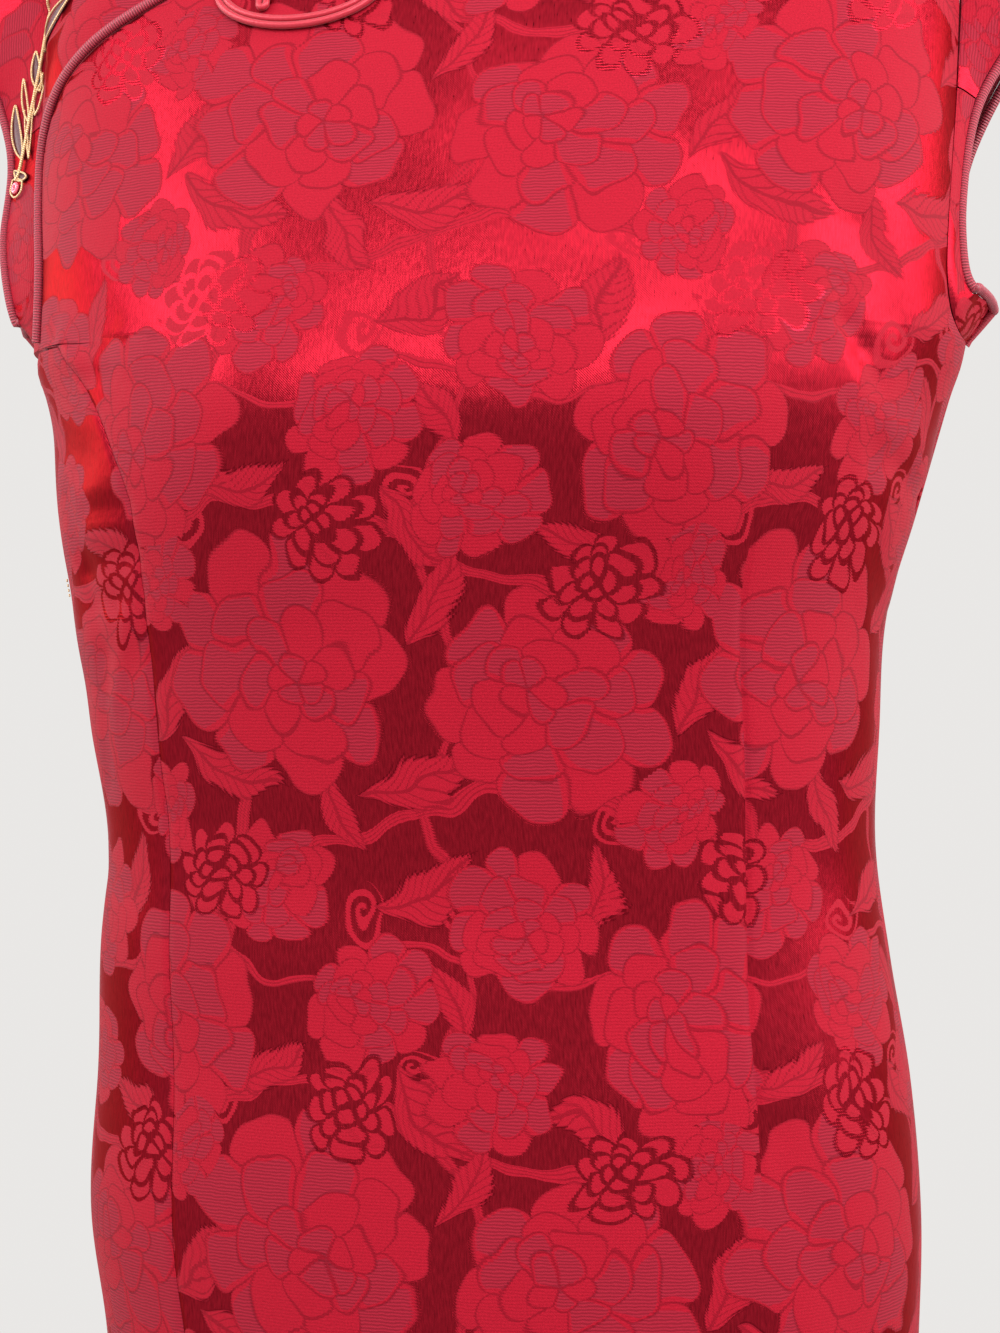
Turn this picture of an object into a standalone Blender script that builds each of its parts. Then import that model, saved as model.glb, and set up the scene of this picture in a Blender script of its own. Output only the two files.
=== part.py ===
"""Cheongsam dress: hollow cloth walls on a general figure, with a curved front opening."""
import math

import bmesh
import bpy
from mathutils import Vector

# Driving dimensions, in metres. X is the wearer's left, -Y the front, Z up.
# The origin is level with the sides of the neck, midway between the shoulders.
WALL = 0.0015
SEAM_GAP = 0.0003
UNDERARM_Z = -0.238
HEM_Z = -1.020
SLIT_TOP_Z = -0.800
SLIT_SPREAD = 0.004
NECK_HALF = 0.066
SHOULDER_HALF = 0.1890
SHOULDER_SLOPE = 0.40
SHOULDER_BACK = 0.010
FRONT_NECK_T = 0.650
BACK_NECK_T = 0.840
OPENING_END_Z = -0.256
SEAM_TOP_Z = -0.2395
OPENING_SPLIT = 0.68
UNDERLAP = 0.035
UNDER_STEP = 0.0028
UNDER_EASE_FROM = 0.020
UNDER_EASE_OVER = 0.014
UNDERLAP_DIP = 0.10
PIPING_RADIUS = 0.0020
COLLAR_HEIGHT = 0.045
COLLAR_LEAN = 0.005
COLLAR_FRONT_GAP = 0.007
COLLAR_CORNER = 0.018
COLLAR_SEAT = 0.0004
COLLAR_EASE = 0.045
PIPING_LIFT = 0.0001
PIPING_END = 0.92
SLEEVE_PIPING_REACH = 0.0025
EDGE_GAP = 0.0009
BACK_NECK_STEPS = 4
KNOT_LIFT = 0.0070
COLLAR_KNOT_LIFT = 0.0046
COLLAR_BAR_RISE = 0.0100
FROG_RADIUS = 0.0014
FROG_PITCH = 0.0032
FROG_X = -0.0640
FROG_Z = -0.1011
FROG_RING_HALF = 0.0353
FROG_RING_TALL = 0.0188
FROG_RING_PITCH = 0.0030
FROG_RING_LEAN = 0.60
FROG_RING_START = 95.0
FROG_RING_TURN = 700.0
FROG_RING_STEPS = 50
# Ends of the frog's inner stem and of its mate above the opening, from the ring's middle.
STEM_TOP = (-0.0150, 0.0068)
STEM_LOW = (-0.0150, -0.0087)
MATE_START = (-0.0040, 0.0316)
MATE_END = (-0.0380, 0.0531)
KNOT_RISE = 0.0249
KNOT_RADIUS = 0.0045

# Level cuts of the body below the arms: half width, depth in front of and behind the side seams,
# and how far the middle stands to the wearer's left. Each row starts with its height.
SECTIONS = (
    (UNDERARM_Z, 0.1900, 0.1140, 0.0960, 0.0000),
    (-0.2460, 0.1882, 0.1156, 0.0959, 0.0000),
    (-0.2570, 0.1843, 0.1174, 0.0954, 0.0000),
    (-0.2720, 0.1806, 0.1185, 0.0945, -0.0007),
    (-0.3050, 0.1745, 0.1160, 0.0920, -0.0040),
    (-0.3450, 0.1660, 0.1090, 0.0880, -0.0070),
    (-0.3900, 0.1612, 0.1020, 0.0830, -0.0050),
    (-0.4350, 0.1568, 0.0985, 0.0805, -0.0022),
    (-0.4800, 0.1613, 0.1000, 0.0850, -0.0010),
    (-0.5300, 0.1660, 0.1035, 0.0950, 0.0025),
    (-0.5850, 0.1693, 0.1060, 0.1040, 0.0034),
    (-0.6400, 0.1650, 0.1060, 0.1070, 0.0065),
    (-0.7200, 0.1645, 0.1040, 0.1050, 0.0060),
    (-0.8000, 0.1635, 0.1010, 0.1010, 0.0050),
    (-0.9100, 0.1610, 0.0970, 0.0970, 0.0050),
    (-1.0200, 0.1590, 0.0940, 0.0940, 0.0050),
)
FRONT_POWER = 2.35
BACK_POWER = 2.30
CHEST_POWER = 2.2
CHEST_LEAN = 0.50
BACK_TOP_POWER = 2.8
BACK_LEAN = 0.30
BUST_X = 0.085
BUST_Z = -0.272
BUST_RISE = 0.007
BUST_SPREAD = 0.050

# Largest folds and pressed creases, as soft troughs between two places of the front view:
# x and z of both ends, then width and depth.
FRONT_FOLDS = (
    (0.150, -0.205, 0.168, -0.262, 0.011, 0.0030),
    (0.162, -0.285, 0.178, -0.310, 0.010, 0.0025),
    (-0.185, -0.262, -0.150, -0.285, 0.011, 0.0022),
    (-0.170, -0.335, -0.120, -0.330, 0.014, 0.0018),
    (-0.165, -0.375, -0.118, -0.362, 0.013, 0.0018),
    (-0.060, -0.450, 0.060, -0.462, 0.022, 0.0018),
    (-0.150, -0.520, -0.050, -0.505, 0.024, 0.0018),
    (0.145, -0.440, 0.070, -0.500, 0.024, 0.0020),
)
BACK_FOLDS = (
    (-0.110, -0.395, 0.100, -0.410, 0.024, 0.0026),
    (-0.090, -0.450, 0.110, -0.436, 0.022, 0.0026),
    (0.140, -0.470, 0.060, -0.540, 0.024, 0.0020),
    (-0.140, -0.480, -0.050, -0.555, 0.024, 0.0020),
)

# Edge of the curved opening on the wearer's right, in the front view, from underarm to neck:
# x and z.
OPENING = (
    (-0.1795, -0.2380),
    (-0.1752, -0.2260),
    (-0.1755, -0.2045),
    (-0.1788, -0.1794),
    (-0.1795, -0.1567),
    (-0.1716, -0.1361),
    (-0.1557, -0.1197),
    (-0.1325, -0.1062),
    (-0.0988, -0.0905),
    (-0.0600, -0.0790),
    (-0.0250, -0.0730),
)
# Below the underarm the opening runs to the side seam: z and an angle from the centre front.
OPENING_FOOT = ((OPENING_END_Z, -88.5), (-0.248, -76.0), (UNDERARM_Z, -66.0))
FOOT_LEVELS = (OPENING_END_Z, -0.252, -0.248, -0.244)
# Edge of each armhole, from the top of the side seam to the shoulder: distance from the middle,
# and share of the way up.
FRONT_ARMHOLE_LEFT = (
    (0.1900, 0.000),
    (0.1875, 0.012),
    (0.1845, 0.050),
    (0.1830, 0.120),
    (0.1835, 0.220),
    (0.1850, 0.350),
    (0.1868, 0.520),
    (0.1880, 0.700),
    (0.1888, 0.860),
    (SHOULDER_HALF, 1.000),
)
FRONT_ARMHOLE_RIGHT = (
    (0.1900, 0.000),
    (0.1890, 0.012),
    (0.1872, 0.050),
    (0.1865, 0.120),
    (0.1865, 0.220),
    (0.1868, 0.350),
    (0.1875, 0.520),
    (0.1885, 0.700),
    (0.1890, 0.860),
    (SHOULDER_HALF, 1.000),
)
BACK_ARMHOLE = (
    (0.1900, 0.000),
    (0.1875, 0.012),
    (0.1845, 0.050),
    (0.1825, 0.120),
    (0.1820, 0.220),
    (0.1825, 0.330),
    (0.1840, 0.460),
    (0.1868, 0.680),
    (0.1885, 0.850),
    (SHOULDER_HALF, 1.000),
)
# Long seam that joins the right side panel: z and an angle from the centre front.
RIGHT_SEAM = (
    (HEM_Z, -37.0),
    (-0.800, -37.5),
    (-0.600, -38.5),
    (-0.500, -40.5),
    (-0.430, -42.5),
    (-0.370, -40.5),
    (-0.320, -39.7),
    (-0.297, -41.0),
    (-0.283, -43.8),
    (-0.268, -47.0),
    (-0.255, -50.5),
    (SEAM_TOP_Z, -56.0),
)
# Strip of cap and band round an armhole: place along it, width, how far it turns out, extra width
# on the wearer's right, how far it follows the arm and not the chest, and how much further the
# right one turns out.
# Place 0 is the underarm and 0.5 the shoulder; the front comes first.
STRIP = (
    (0.00, 0.0165, 0.30, 0.0000, 0.00, 0.00),
    (0.06, 0.0160, 0.42, -0.0010, 0.00, 0.10),
    (0.12, 0.0125, 0.40, 0.0000, 0.00, 0.35),
    (0.18, 0.0085, 0.22, 0.0070, 0.00, 0.75),
    (0.26, 0.0065, 0.10, 0.0165, 0.00, 0.75),
    (0.33, 0.0090, 0.05, 0.0130, 0.40, 0.25),
    (0.39, 0.0235, 0.00, 0.0050, 0.85, 0.00),
    (0.45, 0.0420, 0.00, 0.0000, 1.00, 0.00),
    (0.50, 0.0500, 0.00, 0.0000, 1.00, 0.00),
    (0.55, 0.0430, 0.00, 0.0000, 1.00, 0.00),
    (0.61, 0.0250, 0.00, 0.0000, 0.85, 0.00),
    (0.67, 0.0090, 0.05, 0.0020, 0.40, 0.00),
    (0.74, 0.0070, 0.10, 0.0040, 0.00, 0.00),
    (0.82, 0.0085, 0.22, 0.0040, 0.00, 0.00),
    (0.88, 0.0125, 0.40, 0.0020, 0.00, 0.00),
    (0.94, 0.0160, 0.42, 0.0010, 0.00, 0.00),
    (1.00, 0.0165, 0.30, 0.0000, 0.00, 0.00),
)
ARM_SLOPE = 0.42
CAP_FROM = 1 / 3
CAP_TO = 2 / 3
CAP_DROOP = 1.5
STRIP_END_GAP = 0.0006
STRIP_SEAM_GAP = 0.0005

BODY_LEVELS = 21
CHEST_LEVELS = 18
FRONT_WIDE = 20
SIDE_WIDE = 6
UNDER_WIDE = 10
UNDER_LAST_ANGLE = -50.0
BACK_WIDE = 24
CAP_STEPS = 12
BAND_STEPS = 24
STRIP_ACROSS = 3
STRIP_STEP = 0.012
COLLAR_RISES = 3
COLLAR_BAR_COLUMNS = 9
SHARP_ANGLE = 50.0

SATIN = (0.62, 0.012, 0.045, 1.0)
BROCADE = (0.46, 0.010, 0.030, 1.0)
PIPING = (0.60, 0.020, 0.050, 1.0)
SATIN_ROUGHNESS = 0.3
BROCADE_ROUGHNESS = 0.45
PIPING_ROUGHNESS = 0.5


def clear_scene():
    for thing in list(bpy.data.objects):
        bpy.data.objects.remove(thing)


def cloth_material(name, colour, roughness):
    material = bpy.data.materials.new(name)
    material.use_nodes = True
    shader = material.node_tree.nodes["Principled BSDF"]
    shader.inputs["Base Color"].default_value = colour
    shader.inputs["Roughness"].default_value = roughness
    shader.inputs["Metallic"].default_value = 0.0
    return material


def lookup(table, key, column):
    """Value of a column at a key, on a smooth curve through the table's rows."""
    rows = table if table[0][0] < table[-1][0] else table[::-1]
    if key <= rows[0][0]:
        return rows[0][column]
    if key >= rows[-1][0]:
        return rows[-1][column]
    for index in range(len(rows) - 1):
        if key <= rows[index + 1][0]:
            break
    low = rows[index]
    high = rows[index + 1]
    span = high[0] - low[0]
    before = rows[max(index - 1, 0)]
    after = rows[min(index + 2, len(rows) - 1)]
    slope_low = (high[column] - before[column]) / (high[0] - before[0]) * span
    slope_high = (after[column] - low[column]) / (after[0] - low[0]) * span
    s = (key - low[0]) / span
    return (
        (2 * s**3 - 3 * s**2 + 1) * low[column]
        + (s**3 - 2 * s**2 + s) * slope_low
        + (3 * s**2 - 2 * s**3) * high[column]
        + (s**3 - s**2) * slope_high
    )


def smooth_path(points, fraction):
    """Point of a list of 2-D points at a fraction of its count, on a smooth curve."""
    last = len(points) - 1
    place = min(max(fraction, 0.0), 1.0) * last
    index = min(int(place), last - 1)
    s = place - index
    p0 = points[max(index - 1, 0)]
    p1 = points[index]
    p2 = points[index + 1]
    p3 = points[min(index + 2, last)]
    return tuple(
        0.5
        * (
            2 * p1[k]
            + (p2[k] - p0[k]) * s
            + (2 * p0[k] - 5 * p1[k] + 4 * p2[k] - p3[k]) * s**2
            + (3 * p1[k] - p0[k] - 3 * p2[k] + p3[k]) * s**3
        )
        for k in range(2)
    )


def power_round(value, power):
    """Depth of a flattened round section at a share of its half width."""
    inside = max(1.0 - min(abs(value), 1.0) ** power, 0.0)
    return inside ** (1.0 / power)


def bust(x, z):
    """Extra depth that the bust cups give the front."""
    across = (abs(x) - BUST_X) / BUST_SPREAD
    up = (z - BUST_Z) / BUST_SPREAD
    return BUST_RISE * math.exp(-across * across - up * up)


def fold_depth(folds, x, z):
    """Depth of the folds at a place of the front or back view."""
    total = 0.0
    for x0, z0, x1, z1, width, depth in folds:
        along = Vector((x1 - x0, z1 - z0))
        share = (Vector((x - x0, z - z0)).dot(along)) / along.length_squared
        held = min(max(share, 0.0), 1.0)
        away = Vector((x - x0, z - z0)) - along * held
        total += depth * math.exp(-((away.length / width) ** 2))
    return total


def body_point(degrees, z):
    """Outer face of the body below the arms, at an angle from the centre front."""
    half_width = lookup(SECTIONS, z, 1)
    sway = lookup(SECTIONS, z, 4)
    angle = math.radians(degrees)
    front = math.cos(angle) > 0
    power = FRONT_POWER if front else BACK_POWER
    across = math.copysign(abs(math.sin(angle)) ** (2 / power), math.sin(angle))
    x = across * half_width
    depth = lookup(SECTIONS, z, 2 if front else 3) * abs(math.cos(angle)) ** (2 / power)
    folds = FRONT_FOLDS if front else BACK_FOLDS
    edge = min(1.0, abs(math.cos(angle)) / 0.25)
    depth -= fold_depth(folds, x, z) * edge
    if front:
        depth += bust(x, z) * edge
    y = -depth if front else depth
    return Vector((x + sway, y, z))


def chest_point(side, x, t):
    """Outer face above the underarm: side -1 is the front, x across, t from 0 to the shoulder."""
    half_width = SECTIONS[0][1]
    front = side < 0
    power = FRONT_POWER if front else BACK_POWER
    base = SECTIONS[0][2 if front else 3] * power_round(x / half_width, power)
    top = -SHOULDER_SLOPE * (abs(x) - NECK_HALF)
    z = UNDERARM_Z + t * (top - UNDERARM_Z)
    round_power = CHEST_POWER if front else BACK_TOP_POWER
    lean = CHEST_LEAN if front else BACK_LEAN
    lean *= 1.0 - min(abs(x) / SHOULDER_HALF, 1.0) ** 2
    share = power_round(t, round_power) * (1.0 - lean * (t if front else t * t))
    folds = FRONT_FOLDS if front else BACK_FOLDS
    edge = min(1.0, base / SECTIONS[0][2] / 0.25)
    fade = min(1.0, (1.0 - t) / 0.25)
    depth = base * share - fold_depth(folds, x, z) * edge * fade
    if front:
        depth += bust(x, z) * edge * fade
    return Vector((x, side * (depth + SEAM_GAP / 2) + SHOULDER_BACK * t, z))


def outward(point_at, u, v, du, dv, guess):
    """Unit normal of a face given by a function of two values, on the side of the guess."""
    across = point_at(u + du, v) - point_at(u - du, v)
    along = point_at(u, v + dv) - point_at(u, v - dv)
    normal = across.cross(along)
    if normal.length < 1e-12:
        return guess.normalized()
    normal.normalize()
    return normal if normal.dot(guess) > 0 else -normal


def body_normal(degrees, z):
    angle = math.radians(degrees)
    guess = Vector((math.sin(angle), -math.cos(angle), 0.0))
    return outward(body_point, degrees, z, 0.5, 0.001, guess)


def chest_normal(side, x, t):
    if t > 0.995:
        return Vector((math.copysign(SHOULDER_SLOPE, x), 0.0, 1.0)).normalized()
    x_safe = math.copysign(min(abs(x), SECTIONS[0][1] - 0.003), x)
    t_safe = min(max(t, 0.002), 0.998)

    def point_at(u, v):
        return chest_point(side, u, v)

    guess = Vector((x / 0.2, side * 1.0, 0.5 * t))
    return outward(point_at, x_safe, t_safe, 0.001, 0.0015, guess)


def mix(a, b, share):
    return a + (b - a) * share


def body_levels(count):
    """Heights of the rows from the hem to the underarm, closer together towards the top."""
    lower = [mix(HEM_Z, FOOT_LEVELS[0], (k / count) ** 0.85) for k in range(count)]
    return lower + list(FOOT_LEVELS) + [SEAM_TOP_Z, UNDERARM_Z]


def side_limit(z, sign, front):
    """Angle where a panel ends at the side seam, opened a little below the slit's top."""
    gap = SEAM_GAP / 2
    if z < SLIT_TOP_Z:
        gap += SLIT_SPREAD * (SLIT_TOP_Z - z) / (SLIT_TOP_Z - HEM_Z)
    depth = lookup(SECTIONS, z, 2 if front else 3)
    power = FRONT_POWER if front else BACK_POWER
    small = math.degrees(math.asin((gap / depth) ** (power / 2)))
    return sign * (90.0 - small) if front else sign * (90.0 + small)


def seam_angle(z, side_step):
    """Angle of the right long seam, moved along the cloth by a step."""
    angle = lookup(RIGHT_SEAM, z, 1)
    here = body_point(angle, z)
    there = body_point(angle + 0.5, z)
    return angle + 0.5 * side_step / (there - here).length


def wall(name, rows, material):
    """Closed wall from rows of (point, normal, inset) whose columns run from right to left."""
    mesh_tool = bmesh.new()
    outer = []
    inner = []
    for row in rows:
        outer.append([mesh_tool.verts.new(p - n * inset) for p, n, inset in row])
        inner.append([mesh_tool.verts.new(p - n * (inset + WALL)) for p, n, inset in row])
    tall = len(rows) - 1
    wide = len(rows[0]) - 1
    for j in range(tall):
        for i in range(wide):
            mesh_tool.faces.new(
                (outer[j][i], outer[j][i + 1], outer[j + 1][i + 1], outer[j + 1][i])
            )
            mesh_tool.faces.new(
                (inner[j][i], inner[j + 1][i], inner[j + 1][i + 1], inner[j][i + 1])
            )
    for i in range(wide):
        mesh_tool.faces.new((outer[0][i + 1], outer[0][i], inner[0][i], inner[0][i + 1]))
        mesh_tool.faces.new(
            (outer[tall][i], outer[tall][i + 1], inner[tall][i + 1], inner[tall][i])
        )
    for j in range(tall):
        mesh_tool.faces.new((outer[j][0], outer[j + 1][0], inner[j + 1][0], inner[j][0]))
        mesh_tool.faces.new(
            (outer[j + 1][wide], outer[j][wide], inner[j][wide], inner[j + 1][wide])
        )
    mesh = bpy.data.meshes.new(name)
    mesh_tool.to_mesh(mesh)
    mesh_tool.free()
    mesh.materials.append(material)
    mesh.shade_smooth()
    mesh.set_sharp_from_angle(angle=math.radians(SHARP_ANGLE))
    piece = bpy.data.objects.new(name, mesh)
    bpy.context.collection.objects.link(piece)
    return piece


def tube(name, points, radius, material, closed=False):
    """Round cord along a list of points."""
    curve = bpy.data.curves.new(name, "CURVE")
    curve.dimensions = "3D"
    curve.bevel_depth = radius
    curve.bevel_resolution = 1
    curve.use_fill_caps = not closed
    spline = curve.splines.new("POLY")
    spline.points.add(len(points) - 1)
    for slot, point in zip(spline.points, points):
        slot.co = (point.x, point.y, point.z, 1.0)
    spline.use_cyclic_u = closed
    curve.materials.append(material)
    piece = bpy.data.objects.new(name, curve)
    bpy.context.collection.objects.link(piece)
    return piece


def body_rows(levels, left_of, right_of, wide):
    """Rows of the lower body between two side limits given as functions of height."""
    rows = []
    for z in levels:
        first = left_of(z)
        last = right_of(z)
        row = []
        for k in range(wide + 1):
            angle = mix(first, last, k / wide)
            row.append((body_point(angle, z), body_normal(angle, z), 0.0))
        rows.append(row)
    return rows


def chest_share(x, z):
    """Share of the way from the underarm level up to the shoulder line."""
    top = -SHOULDER_SLOPE * (abs(x) - NECK_HALF)
    return (z - UNDERARM_Z) / (top - UNDERARM_Z)


def neck_edge(side, sign, psi):
    """Neck edge in chest terms: psi is 0 at the middle and 90 degrees at the side of the neck."""
    base = FRONT_NECK_T if side < 0 else BACK_NECK_T
    angle = math.radians(psi)
    return (sign * NECK_HALF * math.sin(angle), base + (1.0 - base) * (1.0 - math.cos(angle)))


def neck_angle(share):
    """Angle round the neck at a share of the rows, which crowd towards the shoulder."""
    return 90.0 * (1.0 - max(1.0 - share, 0.0) ** 1.5)


def opening_path():
    """Curved opening in chest terms, from the underarm level to the centre front neck."""
    start = (body_point(OPENING_FOOT[-1][1], UNDERARM_Z).x, 0.0)
    middle = [(x, chest_share(x, z)) for x, z in OPENING[1:]]
    return [start] + middle + [(0.0, FRONT_NECK_T)]


def opening_edge(fraction):
    """Edge of the overlap front: the curved opening, then the neck to the left shoulder."""
    if fraction < OPENING_SPLIT:
        return smooth_path(opening_path(), fraction / OPENING_SPLIT)
    return neck_edge(-1, 1, neck_angle((fraction - OPENING_SPLIT) / (1.0 - OPENING_SPLIT)))


def underlap_edge(fraction):
    """Hidden edge of the under front, then the neck to the right shoulder."""
    if fraction < OPENING_SPLIT:
        share = fraction / OPENING_SPLIT
        x, t = smooth_path(opening_path(), share)
        return (x + UNDERLAP * (1.0 - share**3), t - UNDERLAP_DIP * share * (1.0 - share))
    return neck_edge(-1, -1, neck_angle((fraction - OPENING_SPLIT) / (1.0 - OPENING_SPLIT)))


def armhole_edge(table, sign, fraction):
    x, t = smooth_path(table, fraction)
    return (sign * x, t)


def under_inset(x, t):
    """How far the under front lies below the overlap front, easing to nothing beyond its edge."""
    here = chest_point(-1, x, t)
    path = opening_path()
    steps = 40
    nearest = 1.0
    last = path[0]
    for k in range(steps + 1):
        px, pt = smooth_path(path, k / steps)
        nearest = min(nearest, (chest_point(-1, px, pt) - here).length)
        if px > x > last[0] and t < mix(last[1], pt, (x - last[0]) / (px - last[0])):
            return UNDER_STEP
        last = (px, pt)
    if x > 0.0:
        return UNDER_STEP
    return UNDER_STEP * min(max((UNDER_EASE_FROM - nearest) / UNDER_EASE_OVER, 0.0), 1.0)


def chest_rows(side, first_row, left_of, right_of, count, inset_of):
    """Rows above the underarm between two edges given as functions from 0 to 1."""
    x_left = first_row[0][0].x
    x_right = first_row[-1][0].x
    shares = [(p.x - x_left) / (x_right - x_left) for p, _, _ in first_row]
    rows = []
    for j in range(1, count + 1):
        xl, tl = left_of(j / count)
        xr, tr = right_of(j / count)
        row = []
        for share in shares:
            x = mix(xl, xr, share)
            t = mix(tl, tr, share)
            inset = inset_of(x, t) if inset_of else 0.0
            row.append((chest_point(side, x, t), chest_normal(side, x, t), inset))
        rows.append(row)
    return rows


def build_front_main(material):
    """Overlap front: from the right long seam and the opening to the left side and shoulder."""

    def left_of(z):
        if z <= SEAM_TOP_Z:
            return seam_angle(z, SEAM_GAP / 2)
        return lookup(OPENING_FOOT, z, 1)

    def right_of(z):
        return side_limit(z, 1, True)

    def right_edge(fraction):
        return armhole_edge(FRONT_ARMHOLE_LEFT, 1, fraction)

    rows = body_rows(body_levels(BODY_LEVELS), left_of, right_of, FRONT_WIDE)
    rows += chest_rows(-1, rows[-1], opening_edge, right_edge, CHEST_LEVELS, None)
    wall("front_main", rows, material)


def build_front_side_right(material):
    """Side panel below the opening, up to a point where the seam meets the opening."""
    levels = body_levels(BODY_LEVELS)[:-1]

    def left_of(z):
        if z < OPENING_END_Z:
            return side_limit(z, -1, True)
        return lookup(OPENING_FOOT, z, 1) - 0.3

    def right_of(z):
        return seam_angle(z, -SEAM_GAP / 2)

    wall("front_side_right", body_rows(levels, left_of, right_of, SIDE_WIDE), material)


def build_front_under(material):
    """Under front on the wearer's right, below the overlap front by one step."""
    foot = body_levels(BODY_LEVELS)[-len(FOOT_LEVELS) - 2 :]

    def left_of(z):
        return side_limit(z, -1, True)

    def right_of(z):
        return UNDER_LAST_ANGLE

    def left_edge(fraction):
        return armhole_edge(FRONT_ARMHOLE_RIGHT, -1, fraction)

    rows = []
    for row in body_rows(foot, left_of, right_of, UNDER_WIDE):
        rows.append([(point, normal, UNDER_STEP) for point, normal, _ in row])
    rows += chest_rows(-1, rows[-1], left_edge, underlap_edge, CHEST_LEVELS, under_inset)
    wall("front_under", rows, material)


def build_back(material):
    """Back in one piece, from side seam to side seam and up to both shoulders."""
    wide = BACK_WIDE
    corner = wide // 2 - BACK_NECK_STEPS

    def left_of(z):
        return side_limit(z, 1, False)

    def right_of(z):
        return 360.0 - side_limit(z, 1, False)

    rows = body_rows(body_levels(BODY_LEVELS), left_of, right_of, wide)
    base_row = [point.x for point, _, _ in rows[-1]]
    tops = []
    for k in range(wide + 1):
        if corner <= k <= wide - corner:
            share = (wide / 2 - k) / BACK_NECK_STEPS
            tops.append(neck_edge(1, 1 if share >= 0 else -1, neck_angle(abs(share))))
        elif k < corner:
            tops.append((mix(SHOULDER_HALF, NECK_HALF, k / corner), 1.0))
        else:
            tops.append((-mix(SHOULDER_HALF, NECK_HALF, (wide - k) / corner), 1.0))
    for j in range(1, CHEST_LEVELS + 1):
        fraction = j / CHEST_LEVELS
        x_edge, t_edge = armhole_edge(BACK_ARMHOLE, 1, fraction)
        row = []
        for k in range(wide + 1):
            plain = base_row[k] / base_row[0] * x_edge
            x = mix(plain, tops[k][0] * x_edge / SHOULDER_HALF, fraction**2)
            t = t_edge * mix(1.0, tops[k][1], fraction**3)
            row.append((chest_point(1, x, t), chest_normal(1, x, t), 0.0))
        rows.append(row)
    wall("back", rows, material)


def loop_point(sign, place):
    """Point and normal of an armhole's edge: 0 the underarm, 0.5 the shoulder, front first."""
    place %= 1.0
    front = FRONT_ARMHOLE_LEFT if sign > 0 else FRONT_ARMHOLE_RIGHT
    if place <= 0.5:
        side = -1
        x, t = smooth_path(front, place * 2)
    else:
        side = 1
        x, t = smooth_path(BACK_ARMHOLE, (1.0 - place) * 2)
    if t < 0.002:
        return body_point(sign * 90.0, UNDERARM_Z), body_normal(sign * 90.0, UNDERARM_Z)
    return chest_point(side, sign * x, t), chest_normal(side, sign * x, t)


def strip_direction(sign, place):
    """Tangent of the armhole's edge at one place, and the direction that the strip leaves it."""
    _, normal = loop_point(sign, place)
    ahead = loop_point(sign, place + STRIP_STEP)[0]
    behind = loop_point(sign, place - STRIP_STEP)[0]
    tangent = (ahead - behind).normalized()
    away = tangent.cross(normal).normalized() * sign
    flare = lookup(STRIP, place % 1.0, 2)
    if sign < 0:
        flare += lookup(STRIP, place % 1.0, 5)
    away = (away + normal * flare).normalized()
    arm = Vector((sign, 0.0, -ARM_SLOPE)).normalized()
    return tangent, away.lerp(arm, lookup(STRIP, place % 1.0, 4)).normalized()


def strip_frame(sign, place):
    """Edge point, direction out of the armhole and face normal of the sleeve strip."""
    point, _ = loop_point(sign, place)
    tangent = Vector((0.0, 0.0, 0.0))
    outwards = Vector((0.0, 0.0, 0.0))
    for offset, weight in ((-1.6, 1), (-0.8, 2), (0.0, 3), (0.8, 2), (1.6, 1)):
        along, away = strip_direction(sign, place + offset / (2 * CHEST_LEVELS))
        tangent += along * weight
        outwards += away * weight
    outwards.normalize()
    return point, outwards, (outwards.cross(tangent) * sign).normalized()


def strip_point(sign, place, share):
    """Point of the sleeve strip: share 0 is the armhole edge and 1 the hem."""
    point, outwards, face = strip_frame(sign, place)
    width = lookup(STRIP, place % 1.0, 1)
    if sign < 0:
        width += lookup(STRIP, place % 1.0, 3)
    reach = STRIP_SEAM_GAP + width * share
    return point + outwards * reach - face * (CAP_DROOP * reach * reach), face


def build_strip(name, sign, place_from, place_to, count, material):
    """Cap sleeve or armhole band, as a strip along a stretch of the armhole."""
    rows = []
    for i in range(STRIP_ACROSS + 1):
        row = []
        for k in range(count + 1):
            place = mix(place_from, place_to, k / count)
            if k == 0:
                place += STRIP_END_GAP
            if k == count:
                place -= STRIP_END_GAP
            point, face = strip_point(sign, place, i / STRIP_ACROSS)
            row.append((point, face, 0.0))
        rows.append(row if sign < 0 else row[::-1])
    wall(name, rows, material)


def neck_corners():
    """Corners of the neck edge that the panels share, going round by the wearer's left."""
    fractions = [j / CHEST_LEVELS for j in range(CHEST_LEVELS + 1) if j / CHEST_LEVELS > OPENING_SPLIT]
    front = [0.0] + [neck_angle((f - OPENING_SPLIT) / (1.0 - OPENING_SPLIT)) for f in fractions]
    back = [neck_angle(k / BACK_NECK_STEPS) for k in range(BACK_NECK_STEPS)]
    places = [(-1, 1, psi) for psi in front]
    places += [(1, 1, psi) for psi in back[::-1]]
    places += [(1, -1, psi) for psi in back[1:]]
    places += [(-1, -1, psi) for psi in front[::-1]]
    corners = []
    for side, sign, psi in places:
        x, t = neck_edge(side, sign, psi)
        corners.append(chest_point(side, x, t))
    return corners


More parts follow.
